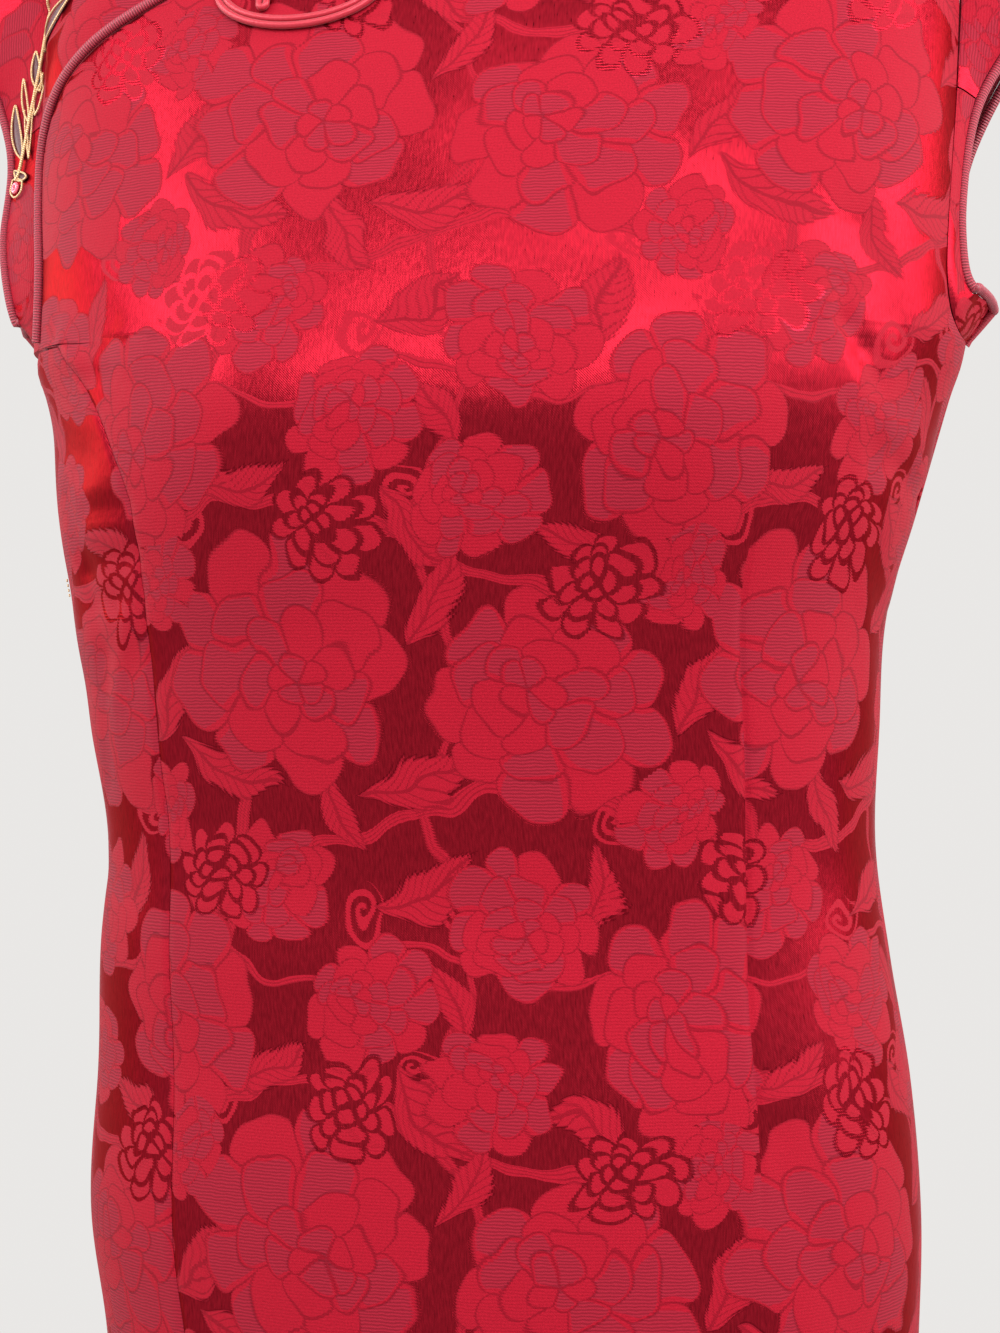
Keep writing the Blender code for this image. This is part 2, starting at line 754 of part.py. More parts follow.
def collar_base():
    """Columns of the collar: point on the neck edge, outward direction and height."""
    corners = neck_corners()
    lengths = [0.0]
    for before, after in zip(corners, corners[1:]):
        lengths.append(lengths[-1] + (after - before).length)
    girth = lengths[-1]

    def edge_at(s):
        index = max(k for k in range(len(lengths) - 1) if lengths[k] <= max(s, 0.0))
        share = (s - lengths[index]) / (lengths[index + 1] - lengths[index])
        return corners[index].lerp(corners[index + 1], min(max(share, 0.0), 1.0)), index

    first = COLLAR_FRONT_GAP / 2
    extra = [first + COLLAR_CORNER * share for share in (0.0, 0.08, 0.25, 0.5, 0.75, 1.0)]
    places = [s for s in lengths if first + 0.001 < s < girth - first - 0.001]
    places += extra + [girth - s for s in extra]
    columns = []
    for s in sorted(places):
        point, index = edge_at(s)
        low = corners[max(index - 1, 0)]
        high = corners[min(index + 2, len(corners) - 1)]
        tangent = high - low
        out = Vector((tangent.y, -tangent.x, 0.0)).normalized()
        short = COLLAR_CORNER - min(min(s, girth - s) - first, COLLAR_CORNER)
        round_part = math.sqrt(max(COLLAR_CORNER**2 - short**2, 0.0))
        reach = min(COLLAR_EASE, s, girth - s)
        around = [edge_at(s + reach * k / 6)[0].z for k in range(-6, 7)]
        level = sum(around) / len(around) - point.z
        columns.append((point, out, COLLAR_HEIGHT - COLLAR_CORNER + round_part + level))
    return columns


def collar_face(column, rise):
    """Outer face of the stand collar above a column's base."""
    point, out, _ = column
    seat = point - out * COLLAR_SEAT + Vector((0.0, 0.0, COLLAR_SEAT + rise))
    return seat - out * (COLLAR_LEAN * rise / COLLAR_HEIGHT)


def build_collar(material):
    """Stand collar, open at the centre front."""
    columns = collar_base()
    rows = []
    for i in range(COLLAR_RISES + 1):
        shares = [(column, column[2] * i / COLLAR_RISES) for column in columns]
        row = [(collar_face(column, rise), column[1], 0.0) for column, rise in shares]
        rows.append(row)
    wall("collar", rows, material)


def build_collar_piping(material):
    """Piping up one front end of the collar, along its top and down the other end."""
    columns = collar_base()
    reach = SEAM_GAP + PIPING_RADIUS
    inward = WALL / 2
    low_share = 0.10
    points = []
    for order, end, neighbour in ((1, 0, 1), (-1, -1, -2)):
        toward = columns[end][0] - columns[neighbour][0]
        along = Vector((toward.x, toward.y, 0.0)).normalized()
        sides = []
        for share in (low_share, 0.55, 0.96):
            here = collar_face(columns[end], columns[end][2] * share)
            sides.append(here + along * reach - columns[end][1] * inward)
        if order > 0:
            points += sides
            for k in range(1, len(columns) - 1):
                before = collar_face(columns[k - 1], columns[k - 1][2])
                after = collar_face(columns[k + 1], columns[k + 1][2])
                here = collar_face(columns[k], columns[k][2])
                away = columns[k][1].cross(after - before).normalized()
                points.append(here + away * reach - columns[k][1] * inward)
        else:
            points += sides[::-1]
    tube("collar_piping", points, PIPING_RADIUS, material)


def build_opening_piping(material):
    """Piping of the curved opening, from the underarm to the collar."""
    reach = EDGE_GAP + PIPING_RADIUS
    path = opening_path()
    shares = [j / CHEST_LEVELS / OPENING_SPLIT / 2 for j in range(1, 2 * CHEST_LEVELS)]
    points = []
    for share in [s for s in shares if s < PIPING_END]:
        x, t = smooth_path(path, share)
        xa, ta = smooth_path(path, share - 0.01)
        xb, tb = smooth_path(path, share + 0.01)
        normal = chest_normal(-1, x, t)
        tangent = chest_point(-1, xb, tb) - chest_point(-1, xa, ta)
        away = normal.cross(tangent).normalized()
        points.append(chest_point(-1, x, t) + away * reach + normal * PIPING_LIFT)
    tube("opening_piping", points, PIPING_RADIUS, material)


def build_sleeve_piping(name, sign, material):
    """Piping right round the edge of the cap and the armhole band."""
    steps = 2 * CHEST_LEVELS
    edge = [strip_point(sign, k / steps, 1.0) for k in range(steps)]
    points = []
    for k, (hem, face) in enumerate(edge):
        here = hem - face * (WALL / 2)
        sides = []
        for before, after in ((edge[k - 1], edge[k]), (edge[k], edge[(k + 1) % steps])):
            middle_face = before[1] + after[1]
            sides.append((after[0] - before[0]).cross(middle_face).normalized() * sign)
        away = (sides[0] + sides[1]).normalized()
        points.append(here + away * (SLEEVE_PIPING_REACH / max(away.dot(sides[0]), 0.6)))
    tube(name, points, PIPING_RADIUS, material, closed=True)


def chest_front(x, z):
    """Point and normal of the overlap front at a place of the front view above the underarm."""
    t = chest_share(x, z)
    return chest_point(-1, x, t), chest_normal(-1, x, t)


def hairpin(start, end, gap, steps):
    """Flat U from start to end and back, as pairs in the plane of the cloth."""
    along_x = end[0] - start[0]
    along_z = end[1] - start[1]
    length = math.hypot(along_x, along_z)
    ux = along_x / length
    uz = along_z / length
    half = gap / 2
    places = [(mix(0.0, length - half, k / steps), half) for k in range(steps)]
    for k in range(5):
        angle = math.radians(90.0 - 45.0 * k)
        places.append((length - half + half * math.cos(angle), half * math.sin(angle)))
    places += [(mix(length - half, 0.0, (k + 1) / steps), -half) for k in range(steps)]
    return [(start[0] + ux * a - uz * b, start[1] + uz * a + ux * b) for a, b in places]


def frog_place(step):
    """Place of the front view at a step from the middle of the chest frog's ring."""
    return (FROG_X + step[0], FROG_Z + step[1])


def build_chest_frog(satin):
    """Satin-tube frog: an oval ring with an inner stem, its mate above the opening, and a knot."""
    lift = FROG_RADIUS + SEAM_GAP
    points = []
    for k in range(FROG_RING_STEPS + 1):
        turned = FROG_RING_TURN * k / FROG_RING_STEPS
        angle = math.radians(FROG_RING_START + turned)
        inward = FROG_RING_PITCH * turned / 360.0
        tall = (FROG_RING_TALL - inward) * math.sin(angle)
        wide = (FROG_RING_HALF - inward) * math.cos(angle)
        point, normal = chest_front(FROG_X + wide + FROG_RING_LEAN * max(tall, 0.0), FROG_Z + tall)
        points.append(point + normal * lift)
    tube("frog_chest_ring", points, FROG_RADIUS, satin)
    points = []
    for x, z in hairpin(frog_place(STEM_TOP), frog_place(STEM_LOW), FROG_RING_PITCH, 4):
        point, normal = chest_front(x, z)
        points.append(point + normal * lift)
    tube("frog_chest_stem", points, FROG_RADIUS, satin)
    points = []
    for x, z in hairpin(frog_place(MATE_START), frog_place(MATE_END), FROG_PITCH, 5):
        point, normal = chest_front(x, z)
        points.append(point + normal * (lift - under_inset(x, chest_share(x, z))))
    tube("frog_chest_mate", points, FROG_RADIUS, satin)
    point, normal = chest_front(FROG_X, FROG_Z + KNOT_RISE)
    knot("frog_chest_knot", point + normal * KNOT_LIFT, satin)


def build_collar_frog(satin):
    """Straight frog that closes the collar: a bar on each side and a knot over the gap."""
    columns = collar_base()
    lift = FROG_RADIUS + SEAM_GAP
    for word, part in (("left", columns), ("right", columns[::-1])):
        bar = part[1:COLLAR_BAR_COLUMNS]
        low = [collar_face(c, COLLAR_BAR_RISE) + c[1] * lift for c in bar]
        high = [collar_face(c, COLLAR_BAR_RISE + FROG_PITCH) + c[1] * lift for c in bar]
        turn = (low[-1] + high[-1]) / 2 + (low[-1] - low[-2]).normalized() * (FROG_PITCH / 2)
        tube("frog_collar_bar_" + word, low + [turn] + high[::-1], FROG_RADIUS, satin)
    middle = (columns[0][0] + columns[-1][0]) / 2
    rise = COLLAR_BAR_RISE + FROG_PITCH / 2 + COLLAR_SEAT
    knot("frog_collar_knot", middle + Vector((0.0, -COLLAR_KNOT_LIFT, rise)), satin)


def knot(name, place, material):
    """Ball of a knotted satin button."""
    bpy.ops.mesh.primitive_uv_sphere_add(
        segments=12, ring_count=8, radius=KNOT_RADIUS, location=place
    )
    ball = bpy.context.active_object
    ball.name = name
    ball.data.name = name
    ball.data.materials.append(material)
    ball.data.shade_smooth()


def main():
    clear_scene()
    brocade = cloth_material("brocade", BROCADE, BROCADE_ROUGHNESS)
    piping = cloth_material("corded_satin", PIPING, PIPING_ROUGHNESS)
    satin = cloth_material("satin_tube", SATIN, SATIN_ROUGHNESS)
    build_front_main(brocade)
    build_front_side_right(brocade)
    build_front_under(brocade)
    build_back(brocade)
    build_collar(brocade)
    build_collar_piping(piping)
    build_opening_piping(piping)
    for sign, word in ((1, "left"), (-1, "right")):
        build_strip("cap_" + word, sign, CAP_FROM, CAP_TO, CAP_STEPS, brocade)
        build_strip("armhole_band_" + word, sign, CAP_TO - 1.0, CAP_FROM, BAND_STEPS, brocade)
        build_sleeve_piping("sleeve_piping_" + word, sign, piping)
    build_chest_frog(satin)
    build_collar_frog(satin)


main()
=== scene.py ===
import math

import bmesh
import bpy
import numpy as np
from mathutils import Matrix, Vector
from mathutils.bvhtree import BVHTree


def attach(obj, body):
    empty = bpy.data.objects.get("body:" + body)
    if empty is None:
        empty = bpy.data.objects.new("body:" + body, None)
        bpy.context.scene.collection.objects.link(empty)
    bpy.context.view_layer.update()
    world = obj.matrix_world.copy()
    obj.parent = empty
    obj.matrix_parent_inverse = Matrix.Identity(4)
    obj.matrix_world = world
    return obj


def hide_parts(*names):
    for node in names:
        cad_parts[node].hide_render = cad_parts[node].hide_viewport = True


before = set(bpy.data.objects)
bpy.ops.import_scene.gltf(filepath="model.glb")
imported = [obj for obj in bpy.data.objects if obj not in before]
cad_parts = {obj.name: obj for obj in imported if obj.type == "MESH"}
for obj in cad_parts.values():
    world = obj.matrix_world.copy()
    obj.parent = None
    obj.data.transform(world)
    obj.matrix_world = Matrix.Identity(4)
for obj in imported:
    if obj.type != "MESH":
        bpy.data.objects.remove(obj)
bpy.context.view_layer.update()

print("frame loaded:", len(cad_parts), "pieces")


# All sizes in metres: X is the wearer's left, -Y the front, Z up, 0 level with the side of the neck.
form = {
    "underarm": -0.238,
    "hem": -1.020,
    "slitTop": -0.800,
    "slitSpread": 0.004,
    "neckHalf": 0.066,
    "shoulderHalf": 0.1890,
    "shoulderSlope": 0.40,
    "shoulderBack": 0.010,
    "frontNeck": 0.650,
    "backNeck": 0.840,
    "seamGap": 0.0003,
    "frontPower": 2.35,
    "backPower": 2.30,
    "chestPower": 2.2,
    "chestLean": 0.50,
    "backTopPower": 2.8,
    "backLean": 0.30,
    "bust": (0.085, -0.272, 0.050, 0.007),      # x, z, spread, rise
    "openingEnd": -0.256,
    "seamTop": -0.2395,
    "openingSplit": 0.68,
    "underlap": 0.035,
    "underStep": 0.0028,
    "riseTaken": 0.08,        # how far out the rise of the cloth over the shoulder is measured
}
# height, half width, front depth, back depth, sway to the wearer's left
sections = np.array([
    (-1.0200, 0.1590, 0.0940, 0.0940, 0.0050),
    (-0.9100, 0.1610, 0.0970, 0.0970, 0.0050),
    (-0.8000, 0.1635, 0.1010, 0.1010, 0.0050),
    (-0.7200, 0.1645, 0.1040, 0.1050, 0.0060),
    (-0.6400, 0.1650, 0.1060, 0.1070, 0.0065),
    (-0.5850, 0.1693, 0.1060, 0.1040, 0.0034),
    (-0.5300, 0.1660, 0.1035, 0.0950, 0.0025),
    (-0.4800, 0.1613, 0.1000, 0.0850, -0.0010),
    (-0.4350, 0.1568, 0.0985, 0.0805, -0.0022),
    (-0.3900, 0.1612, 0.1020, 0.0830, -0.0050),
    (-0.3450, 0.1660, 0.1090, 0.0880, -0.0070),
    (-0.3050, 0.1745, 0.1160, 0.0920, -0.0040),
    (-0.2720, 0.1806, 0.1185, 0.0945, -0.0007),
    (-0.2570, 0.1843, 0.1174, 0.0954, 0.0000),
    (-0.2460, 0.1882, 0.1156, 0.0959, 0.0000),
    (-0.2380, 0.1900, 0.1140, 0.0960, 0.0000),
])
# soft troughs between two places of the front view: x0, z0, x1, z1, width, depth (a ridge is negative)
frontFolds = [
    (0.150, -0.205, 0.168, -0.262, 0.011, 0.0030),
    (0.162, -0.285, 0.178, -0.310, 0.010, 0.0025),
    (-0.185, -0.262, -0.150, -0.285, 0.011, 0.0022),
    (-0.170, -0.335, -0.120, -0.330, 0.014, 0.0018),
    (-0.165, -0.375, -0.118, -0.362, 0.013, 0.0018),
    (-0.060, -0.450, 0.060, -0.462, 0.022, 0.0018),
    (-0.150, -0.520, -0.050, -0.505, 0.024, 0.0018),
    (0.145, -0.440, 0.070, -0.500, 0.024, 0.0020),
]
backFolds = [
    (-0.110, -0.395, 0.100, -0.410, 0.024, 0.0026),
    (-0.090, -0.450, 0.110, -0.436, 0.022, 0.0026),
    (0.140, -0.470, 0.060, -0.540, 0.024, 0.0020),
    (-0.140, -0.480, -0.050, -0.555, 0.024, 0.0020),
]
# sharper creases, pressed lines and pulls at the seams, in the same measures
frontCreases = [
    (0.1443, -0.2242, 0.1460, -0.2370, 0.0040, 0.0011),
    (0.1460, -0.2370, 0.1522, -0.2478, 0.0040, 0.0014),
    (0.1522, -0.2478, 0.1575, -0.2585, 0.0038, 0.0012),
    (0.1575, -0.2585, 0.1601, -0.2660, 0.0038, 0.0008),
    (0.1621, -0.2875, 0.1724, -0.2990, 0.0050, 0.0013),
    (0.1560, -0.2600, 0.1590, -0.2760, 0.0070, -0.0006),
    (0.1494, -0.2597, 0.1520, -0.3400, 0.0026, -0.0005),
    (0.1520, -0.3400, 0.1530, -0.3975, 0.0026, -0.0004),
    (0.1612, -0.2401, 0.1603, -0.3386, 0.0030, -0.0005),
    (0.1766, -0.2455, 0.1760, -0.2737, 0.0060, 0.0009),
    (-0.1604, -0.2368, -0.1487, -0.2500, 0.0042, -0.0015),
    (-0.1647, -0.2201, -0.1335, -0.2322, 0.0050, 0.0011),
    (-0.1639, -0.2323, -0.1354, -0.2418, 0.0046, 0.0013),
    (-0.1548, -0.2512, -0.1326, -0.2525, 0.0040, 0.0008),
    (-0.1620, -0.2130, -0.1400, -0.2190, 0.0050, 0.0007),
    (-0.1500, -0.2440, -0.1180, -0.2500, 0.0060, -0.0006),
    (-0.1487, -0.3047, -0.1263, -0.3034, 0.0046, 0.0010),
    (-0.1536, -0.3238, -0.1261, -0.3226, 0.0046, 0.0011),
    (-0.1507, -0.3403, -0.1252, -0.3387, 0.0044, 0.0009),
    (-0.1252, -0.3318, -0.1390, -0.3789, 0.0034, -0.0010),
    (-0.1615, -0.2982, -0.1512, -0.3289, 0.0042, 0.0012),
    (-0.1512, -0.3289, -0.1446, -0.3600, 0.0042, 0.0010),
    (-0.1446, -0.3600, -0.1476, -0.4124, 0.0040, 0.0008),
    (-0.1500, -0.4500, -0.1330, -0.4560, 0.0060, 0.0008),
    (-0.1250, -0.4200, -0.0900, -0.4250, 0.0070, 0.0006),
    (0.0500, -0.4300, 0.0980, -0.4360, 0.0080, 0.0007),
    (-0.0900, -0.2250, -0.0300, -0.2450, 0.0120, 0.0009),
    (0.0100, -0.2200, 0.0600, -0.2380, 0.0130, -0.0008),
    (-0.0300, -0.1700, 0.0300, -0.1850, 0.0140, 0.0008),
    (0.0600, -0.1650, 0.1100, -0.1780, 0.0130, -0.0007),
    (-0.1200, -0.1800, -0.0700, -0.1950, 0.0130, -0.0008),
    (0.1150, -0.2150, 0.1380, -0.2450, 0.0090, 0.0007),
    (-0.0200, -0.2900, 0.0400, -0.3000, 0.0150, 0.0008),
    (-0.1000, -0.3600, -0.0300, -0.3500, 0.0130, 0.0007),
    (0.1200, -0.5400, 0.1500, -0.6200, 0.0090, 0.0009),
    (-0.1300, -0.6900, -0.0700, -0.7300, 0.0140, 0.0010),
    (0.0600, -0.7600, 0.1300, -0.7200, 0.0150, 0.0010),
    (-0.0300, -0.8800, -0.0200, -1.0200, 0.0140, 0.0012),
    (0.0700, -0.9000, 0.0850, -1.0200, 0.0130, -0.0011),
    (-0.1100, -0.9100, -0.1180, -1.0200, 0.0120, 0.0010),
]
backCreases = [
    (-0.1500, -0.2900, -0.1150, -0.3020, 0.0060, 0.0012),
    (0.1560, -0.2800, 0.1200, -0.2960, 0.0060, 0.0012),
    (-0.1520, -0.3300, -0.1200, -0.3260, 0.0050, 0.0010),
    (0.1500, -0.3250, 0.1150, -0.3340, 0.0060, 0.0010),
    (-0.1600, -0.2150, -0.1300, -0.2350, 0.0060, 0.0012),
    (0.1580, -0.2100, 0.1320, -0.2300, 0.0060, 0.0012),
    (-0.0700, -0.1500, 0.0500, -0.1580, 0.0130, 0.0010),
    (0.0100, -0.2050, 0.0900, -0.2250, 0.0130, -0.0009),
    (-0.1000, -0.2600, -0.0300, -0.2450, 0.0130, 0.0009),
    (-0.0600, -0.4200, 0.0500, -0.4300, 0.0100, 0.0012),
    (-0.1300, -0.4300, -0.0900, -0.4500, 0.0080, 0.0010),
    (0.0800, -0.4650, 0.1300, -0.4500, 0.0080, 0.0010),
    (-0.0300, -0.5600, 0.0100, -0.6300, 0.0120, 0.0008),
    (-0.1400, -0.7000, -0.0700, -0.7400, 0.0140, 0.0010),
    (0.0600, -0.7500, 0.1350, -0.7050, 0.0140, 0.0010),
    (0.0200, -0.8700, 0.0300, -1.0200, 0.0140, 0.0012),
    (-0.0900, -0.8900, -0.1000, -1.0200, 0.0130, -0.0011),
    (0.1050, -0.9200, 0.1150, -1.0200, 0.0120, 0.0010),
]
# edge of the curved opening, from the underarm to the neck, in the front view
opening = [
    (-0.1795, -0.2380),
    (-0.1752, -0.2260),
    (-0.1755, -0.2045),
    (-0.1788, -0.1794),
    (-0.1795, -0.1567),
    (-0.1716, -0.1361),
    (-0.1557, -0.1197),
    (-0.1325, -0.1062),
    (-0.0988, -0.0905),
    (-0.0600, -0.0790),
    (-0.0250, -0.0730),
]
openingFoot = np.array([(-0.256, -88.5), (-0.248, -76.0), (-0.238, -66.0)])
rightSeam = np.array([
    (-1.0200, -37.0), (-0.800, -37.5), (-0.600, -38.5), (-0.500, -40.5), (-0.430, -42.5),
    (-0.370, -40.5), (-0.320, -39.7), (-0.297, -41.0), (-0.283, -43.8), (-0.268, -47.0),
    (-0.255, -50.5), (-0.2395, -56.0),
])
# armhole edges: distance from the middle, share of the way up to the shoulder
armholes = {
    "frontLeft": [
        (0.1900, 0.000), (0.1875, 0.012), (0.1845, 0.050), (0.1830, 0.120), (0.1835, 0.220),
        (0.1850, 0.350), (0.1868, 0.520), (0.1880, 0.700), (0.1888, 0.860), (0.1890, 1.000),
    ],
    "frontRight": [
        (0.1900, 0.000), (0.1890, 0.012), (0.1872, 0.050), (0.1865, 0.120), (0.1865, 0.220),
        (0.1868, 0.350), (0.1875, 0.520), (0.1885, 0.700), (0.1890, 0.860), (0.1890, 1.000),
    ],
    "back": [
        (0.1900, 0.000), (0.1875, 0.012), (0.1845, 0.050), (0.1825, 0.120), (0.1820, 0.220),
        (0.1825, 0.330), (0.1840, 0.460), (0.1868, 0.680), (0.1885, 0.850), (0.1890, 1.000),
    ],
}
# strip of cap and band round an armhole: place, width, flare, extra width on the right, share of the arm,
# extra flare on the right
strip = np.array([
    (0.00, 0.0165, 0.30, 0.0000, 0.00, 0.00),
    (0.06, 0.0160, 0.42, -0.0010, 0.00, 0.10),
    (0.12, 0.0125, 0.40, 0.0000, 0.00, 0.35),
    (0.18, 0.0085, 0.22, 0.0070, 0.00, 0.75),
    (0.26, 0.0065, 0.10, 0.0165, 0.00, 0.75),
    (0.33, 0.0090, 0.05, 0.0130, 0.40, 0.25),
    (0.39, 0.0235, 0.00, 0.0050, 0.85, 0.00),
    (0.45, 0.0420, 0.00, 0.0000, 1.00, 0.00),
    (0.50, 0.0500, 0.00, 0.0000, 1.00, 0.00),
    (0.55, 0.0430, 0.00, 0.0000, 1.00, 0.00),
    (0.61, 0.0250, 0.00, 0.0000, 0.85, 0.00),
    (0.67, 0.0090, 0.05, 0.0020, 0.40, 0.00),
    (0.74, 0.0070, 0.10, 0.0040, 0.00, 0.00),
    (0.82, 0.0085, 0.22, 0.0040, 0.00, 0.00),
    (0.88, 0.0125, 0.40, 0.0020, 0.00, 0.00),
    (0.94, 0.0160, 0.42, 0.0010, 0.00, 0.00),
    (1.00, 0.0165, 0.30, 0.0000, 0.00, 0.00),
])


def lookUp(rows, key, column):
    # a smooth curve through the rows of a table, whose first column is the place
    if key <= rows[0][0]:
        return rows[0][column]
    if key >= rows[-1][0]:
        return rows[-1][column]
    i = int(np.searchsorted(rows[:, 0], key, side="right")) - 1
    low, high = rows[i], rows[i + 1]
    span = high[0] - low[0]
    before, after = rows[max(i - 1, 0)], rows[min(i + 2, len(rows) - 1)]
    slopeLow = (high[column] - before[column]) / (high[0] - before[0]) * span
    slopeHigh = (after[column] - low[column]) / (after[0] - low[0]) * span
    s = (key - low[0]) / span
    return ((2 * s**3 - 3 * s**2 + 1) * low[column] + (s**3 - 2 * s**2 + s) * slopeLow
            + (3 * s**2 - 2 * s**3) * high[column] + (s**3 - s**2) * slopeHigh)


def smoothPath(points, fraction):
    # a smooth line through the points, by the share of the way along it
    last = len(points) - 1
    place = min(max(fraction, 0.0), 1.0) * last
    i = min(int(place), last - 1)
    s = place - i
    p0, p1, p2, p3 = points[max(i - 1, 0)], points[i], points[i + 1], points[min(i + 2, last)]
    return tuple(
        0.5 * (2 * p1[k] + (p2[k] - p0[k]) * s + (2 * p0[k] - 5 * p1[k] + 4 * p2[k] - p3[k]) * s**2
               + (3 * p1[k] - p0[k] - 3 * p2[k] + p3[k]) * s**3)
        for k in range(2)
    )


def foldDepth(folds, x, z):
    # how deep all the folds together are at each place of the view
    total = np.zeros_like(x)
    for x0, z0, x1, z1, width, depth in folds:
        dx, dz = x1 - x0, z1 - z0
        share = np.clip(((x - x0) * dx + (z - z0) * dz) / (dx * dx + dz * dz), 0.0, 1.0)
        away = (x - x0 - dx * share) ** 2 + (z - z0 - dz * share) ** 2
        total += depth * np.exp(-away / width**2)
    return total


def bustRise(x, z):
    bx, bz, spread, rise = form["bust"]
    return rise * np.exp(-((np.abs(x) - bx) / spread) ** 2 - ((z - bz) / spread) ** 2)


def bodyRow(degrees, z):
    # places round the body at one height: 0 degrees in front, 90 at the wearer's left
    angle = np.radians(np.asarray(degrees, float))
    halfWidth, front, back, sway = (lookUp(sections, z, k) for k in (1, 2, 3, 4))
    ahead = np.cos(angle) > 0
    power = np.where(ahead, form["frontPower"], form["backPower"])
    x = np.sign(np.sin(angle)) * np.abs(np.sin(angle)) ** (2 / power) * halfWidth
    depth = np.where(ahead, front, back) * np.abs(np.cos(angle)) ** (2 / power)
    edge = np.minimum(1.0, np.abs(np.cos(angle)) / 0.25)
    zs = np.full_like(x, z)
    depth = depth - np.where(ahead, foldDepth(frontFolds, x, zs), foldDepth(backFolds, x, zs)) * edge
    depth = depth + np.where(ahead, bustRise(x, zs), 0.0) * edge
    return np.stack([x + sway, np.where(ahead, -depth, depth), zs], -1)


def chestRow(side, x, t):
    # places above the underarm: t runs from 0 there to 1 at the shoulder line
    x, t = np.asarray(x, float), np.asarray(t, float)
    front = side < 0
    power = form["frontPower"] if front else form["backPower"]
    widest = sections[-1][1]
    base = sections[-1][2 if front else 3] * np.maximum(
        1.0 - np.minimum(np.abs(x) / widest, 1.0) ** power, 0.0) ** (1 / power)
    top = -form["shoulderSlope"] * (np.abs(x) - form["neckHalf"])
    z = form["underarm"] + t * (top - form["underarm"])
    rounding = form["chestPower"] if front else form["backTopPower"]
    lean = (form["chestLean"] if front else form["backLean"]) * (
        1.0 - np.minimum(np.abs(x) / form["shoulderHalf"], 1.0) ** 2)
    share = np.maximum(1.0 - np.clip(t, 0, 1) ** rounding, 0.0) ** (1 / rounding)
    share = share * (1.0 - lean * (t if front else t * t))
    folds = frontFolds if front else backFolds
    edge = np.minimum(1.0, base / sections[-1][2] / 0.25)
    fade = np.minimum(1.0, (1.0 - t) / 0.25)
    depth = base * share - foldDepth(folds, x, z) * edge * fade
    if front:
        depth = depth + bustRise(x, z) * edge * fade
    y = side * (depth + form["seamGap"] / 2) + form["shoulderBack"] * t
    return np.stack([x, y, z], -1)


def chestShare(x, z):
    top = -form["shoulderSlope"] * (abs(x) - form["neckHalf"])
    return (z - form["underarm"]) / (top - form["underarm"])


def neckPoint(side, sign, psi):
    base = form["frontNeck"] if side < 0 else form["backNeck"]
    angle = math.radians(psi)
    return sign * form["neckHalf"] * math.sin(angle), base + (1.0 - base) * (1.0 - math.cos(angle))


def neckAngle(share):
    return 90.0 * (1.0 - max(1.0 - share, 0.0) ** 1.5)


def openingPath():
    start = (bodyRow([openingFoot[-1][1]], form["underarm"])[0][0], 0.0)
    return [start] + [(x, chestShare(x, z)) for x, z in opening[1:]] + [(0.0, form["frontNeck"])]


curvedOpening = openingPath()


def openingEdge(fraction):
    split = form["openingSplit"]
    if fraction < split:
        return smoothPath(curvedOpening, fraction / split)
    return neckPoint(-1, 1, neckAngle((fraction - split) / (1.0 - split)))


def underlapEdge(fraction):
    split = form["openingSplit"]
    if fraction < split:
        share = fraction / split
        x, t = smoothPath(curvedOpening, share)
        return x + form["underlap"] * (1.0 - share**3), t - 0.10 * share * (1.0 - share)
    return neckPoint(-1, -1, neckAngle((fraction - split) / (1.0 - split)))


def sideLimit(z, sign, front):
    gap = form["seamGap"] / 2
    if z < form["slitTop"]:
        gap += form["slitSpread"] * (form["slitTop"] - z) / (form["slitTop"] - form["hem"])
    depth = lookUp(sections, z, 2 if front else 3)
    power = form["frontPower"] if front else form["backPower"]
    small = math.degrees(math.asin((gap / depth) ** (power / 2)))
    return sign * (90.0 - small) if front else sign * (90.0 + small)


def seamAngle(z, step):
    angle = lookUp(rightSeam, z, 1)
    here, there = bodyRow([angle, angle + 0.5], z)
    return angle + 0.5 * step / np.linalg.norm(there - here)


# how far each place lies across and down the flat cloth, so that the weave follows the cut
frontArc = np.arange(-90.0, 90.5, 1.0)
backArc = np.arange(90.0, 270.5, 1.0)


def clothAcross(degrees, z):
    front = abs(degrees[len(degrees) // 2]) <= 90.0
    arc = frontArc if front else backArc
    middle = 0.0 if front else 180.0
    points = bodyRow(arc, z)
    length = np.concatenate([[0.0], np.cumsum(np.linalg.norm(np.diff(points, axis=0), axis=1))])
    return np.interp(degrees, arc, length) - np.interp(middle, arc, length)


levelArc = {}
for side, arc in ((-1, frontArc), (1, backArc)):
    points = bodyRow(arc, form["underarm"])
    order = np.argsort(points[:, 0])
    levelArc[side] = (points[order, 0], np.sort(clothAcross(arc, form["underarm"]) * -side))
shoulderRise = {}
for side in (-1, 1):
    steps = np.linspace(0.0, 1.0, 80)
    points = chestRow(side, np.full(80, form["riseTaken"]), steps)
    length = np.concatenate([[0.0], np.cumsum(np.linalg.norm(np.diff(points, axis=0), axis=1))])
    shoulderRise[side] = (steps, length)


def clothOnChest(side, x, t):
    xs, arcs = levelArc[side]
    across = np.interp(x, xs, arcs) * (1.0 - t * t) + x * t * t
    steps, length = shoulderRise[side]
    tall = form["shoulderSlope"] * (form["neckHalf"] - np.abs(x)) - form["underarm"]
    measured = form["shoulderSlope"] * (form["neckHalf"] - form["riseTaken"]) - form["underarm"]
    rise = np.interp(t, steps, length) * tall / measured
    return np.stack([across * -side if side > 0 else across, form["underarm"] + rise], -1)


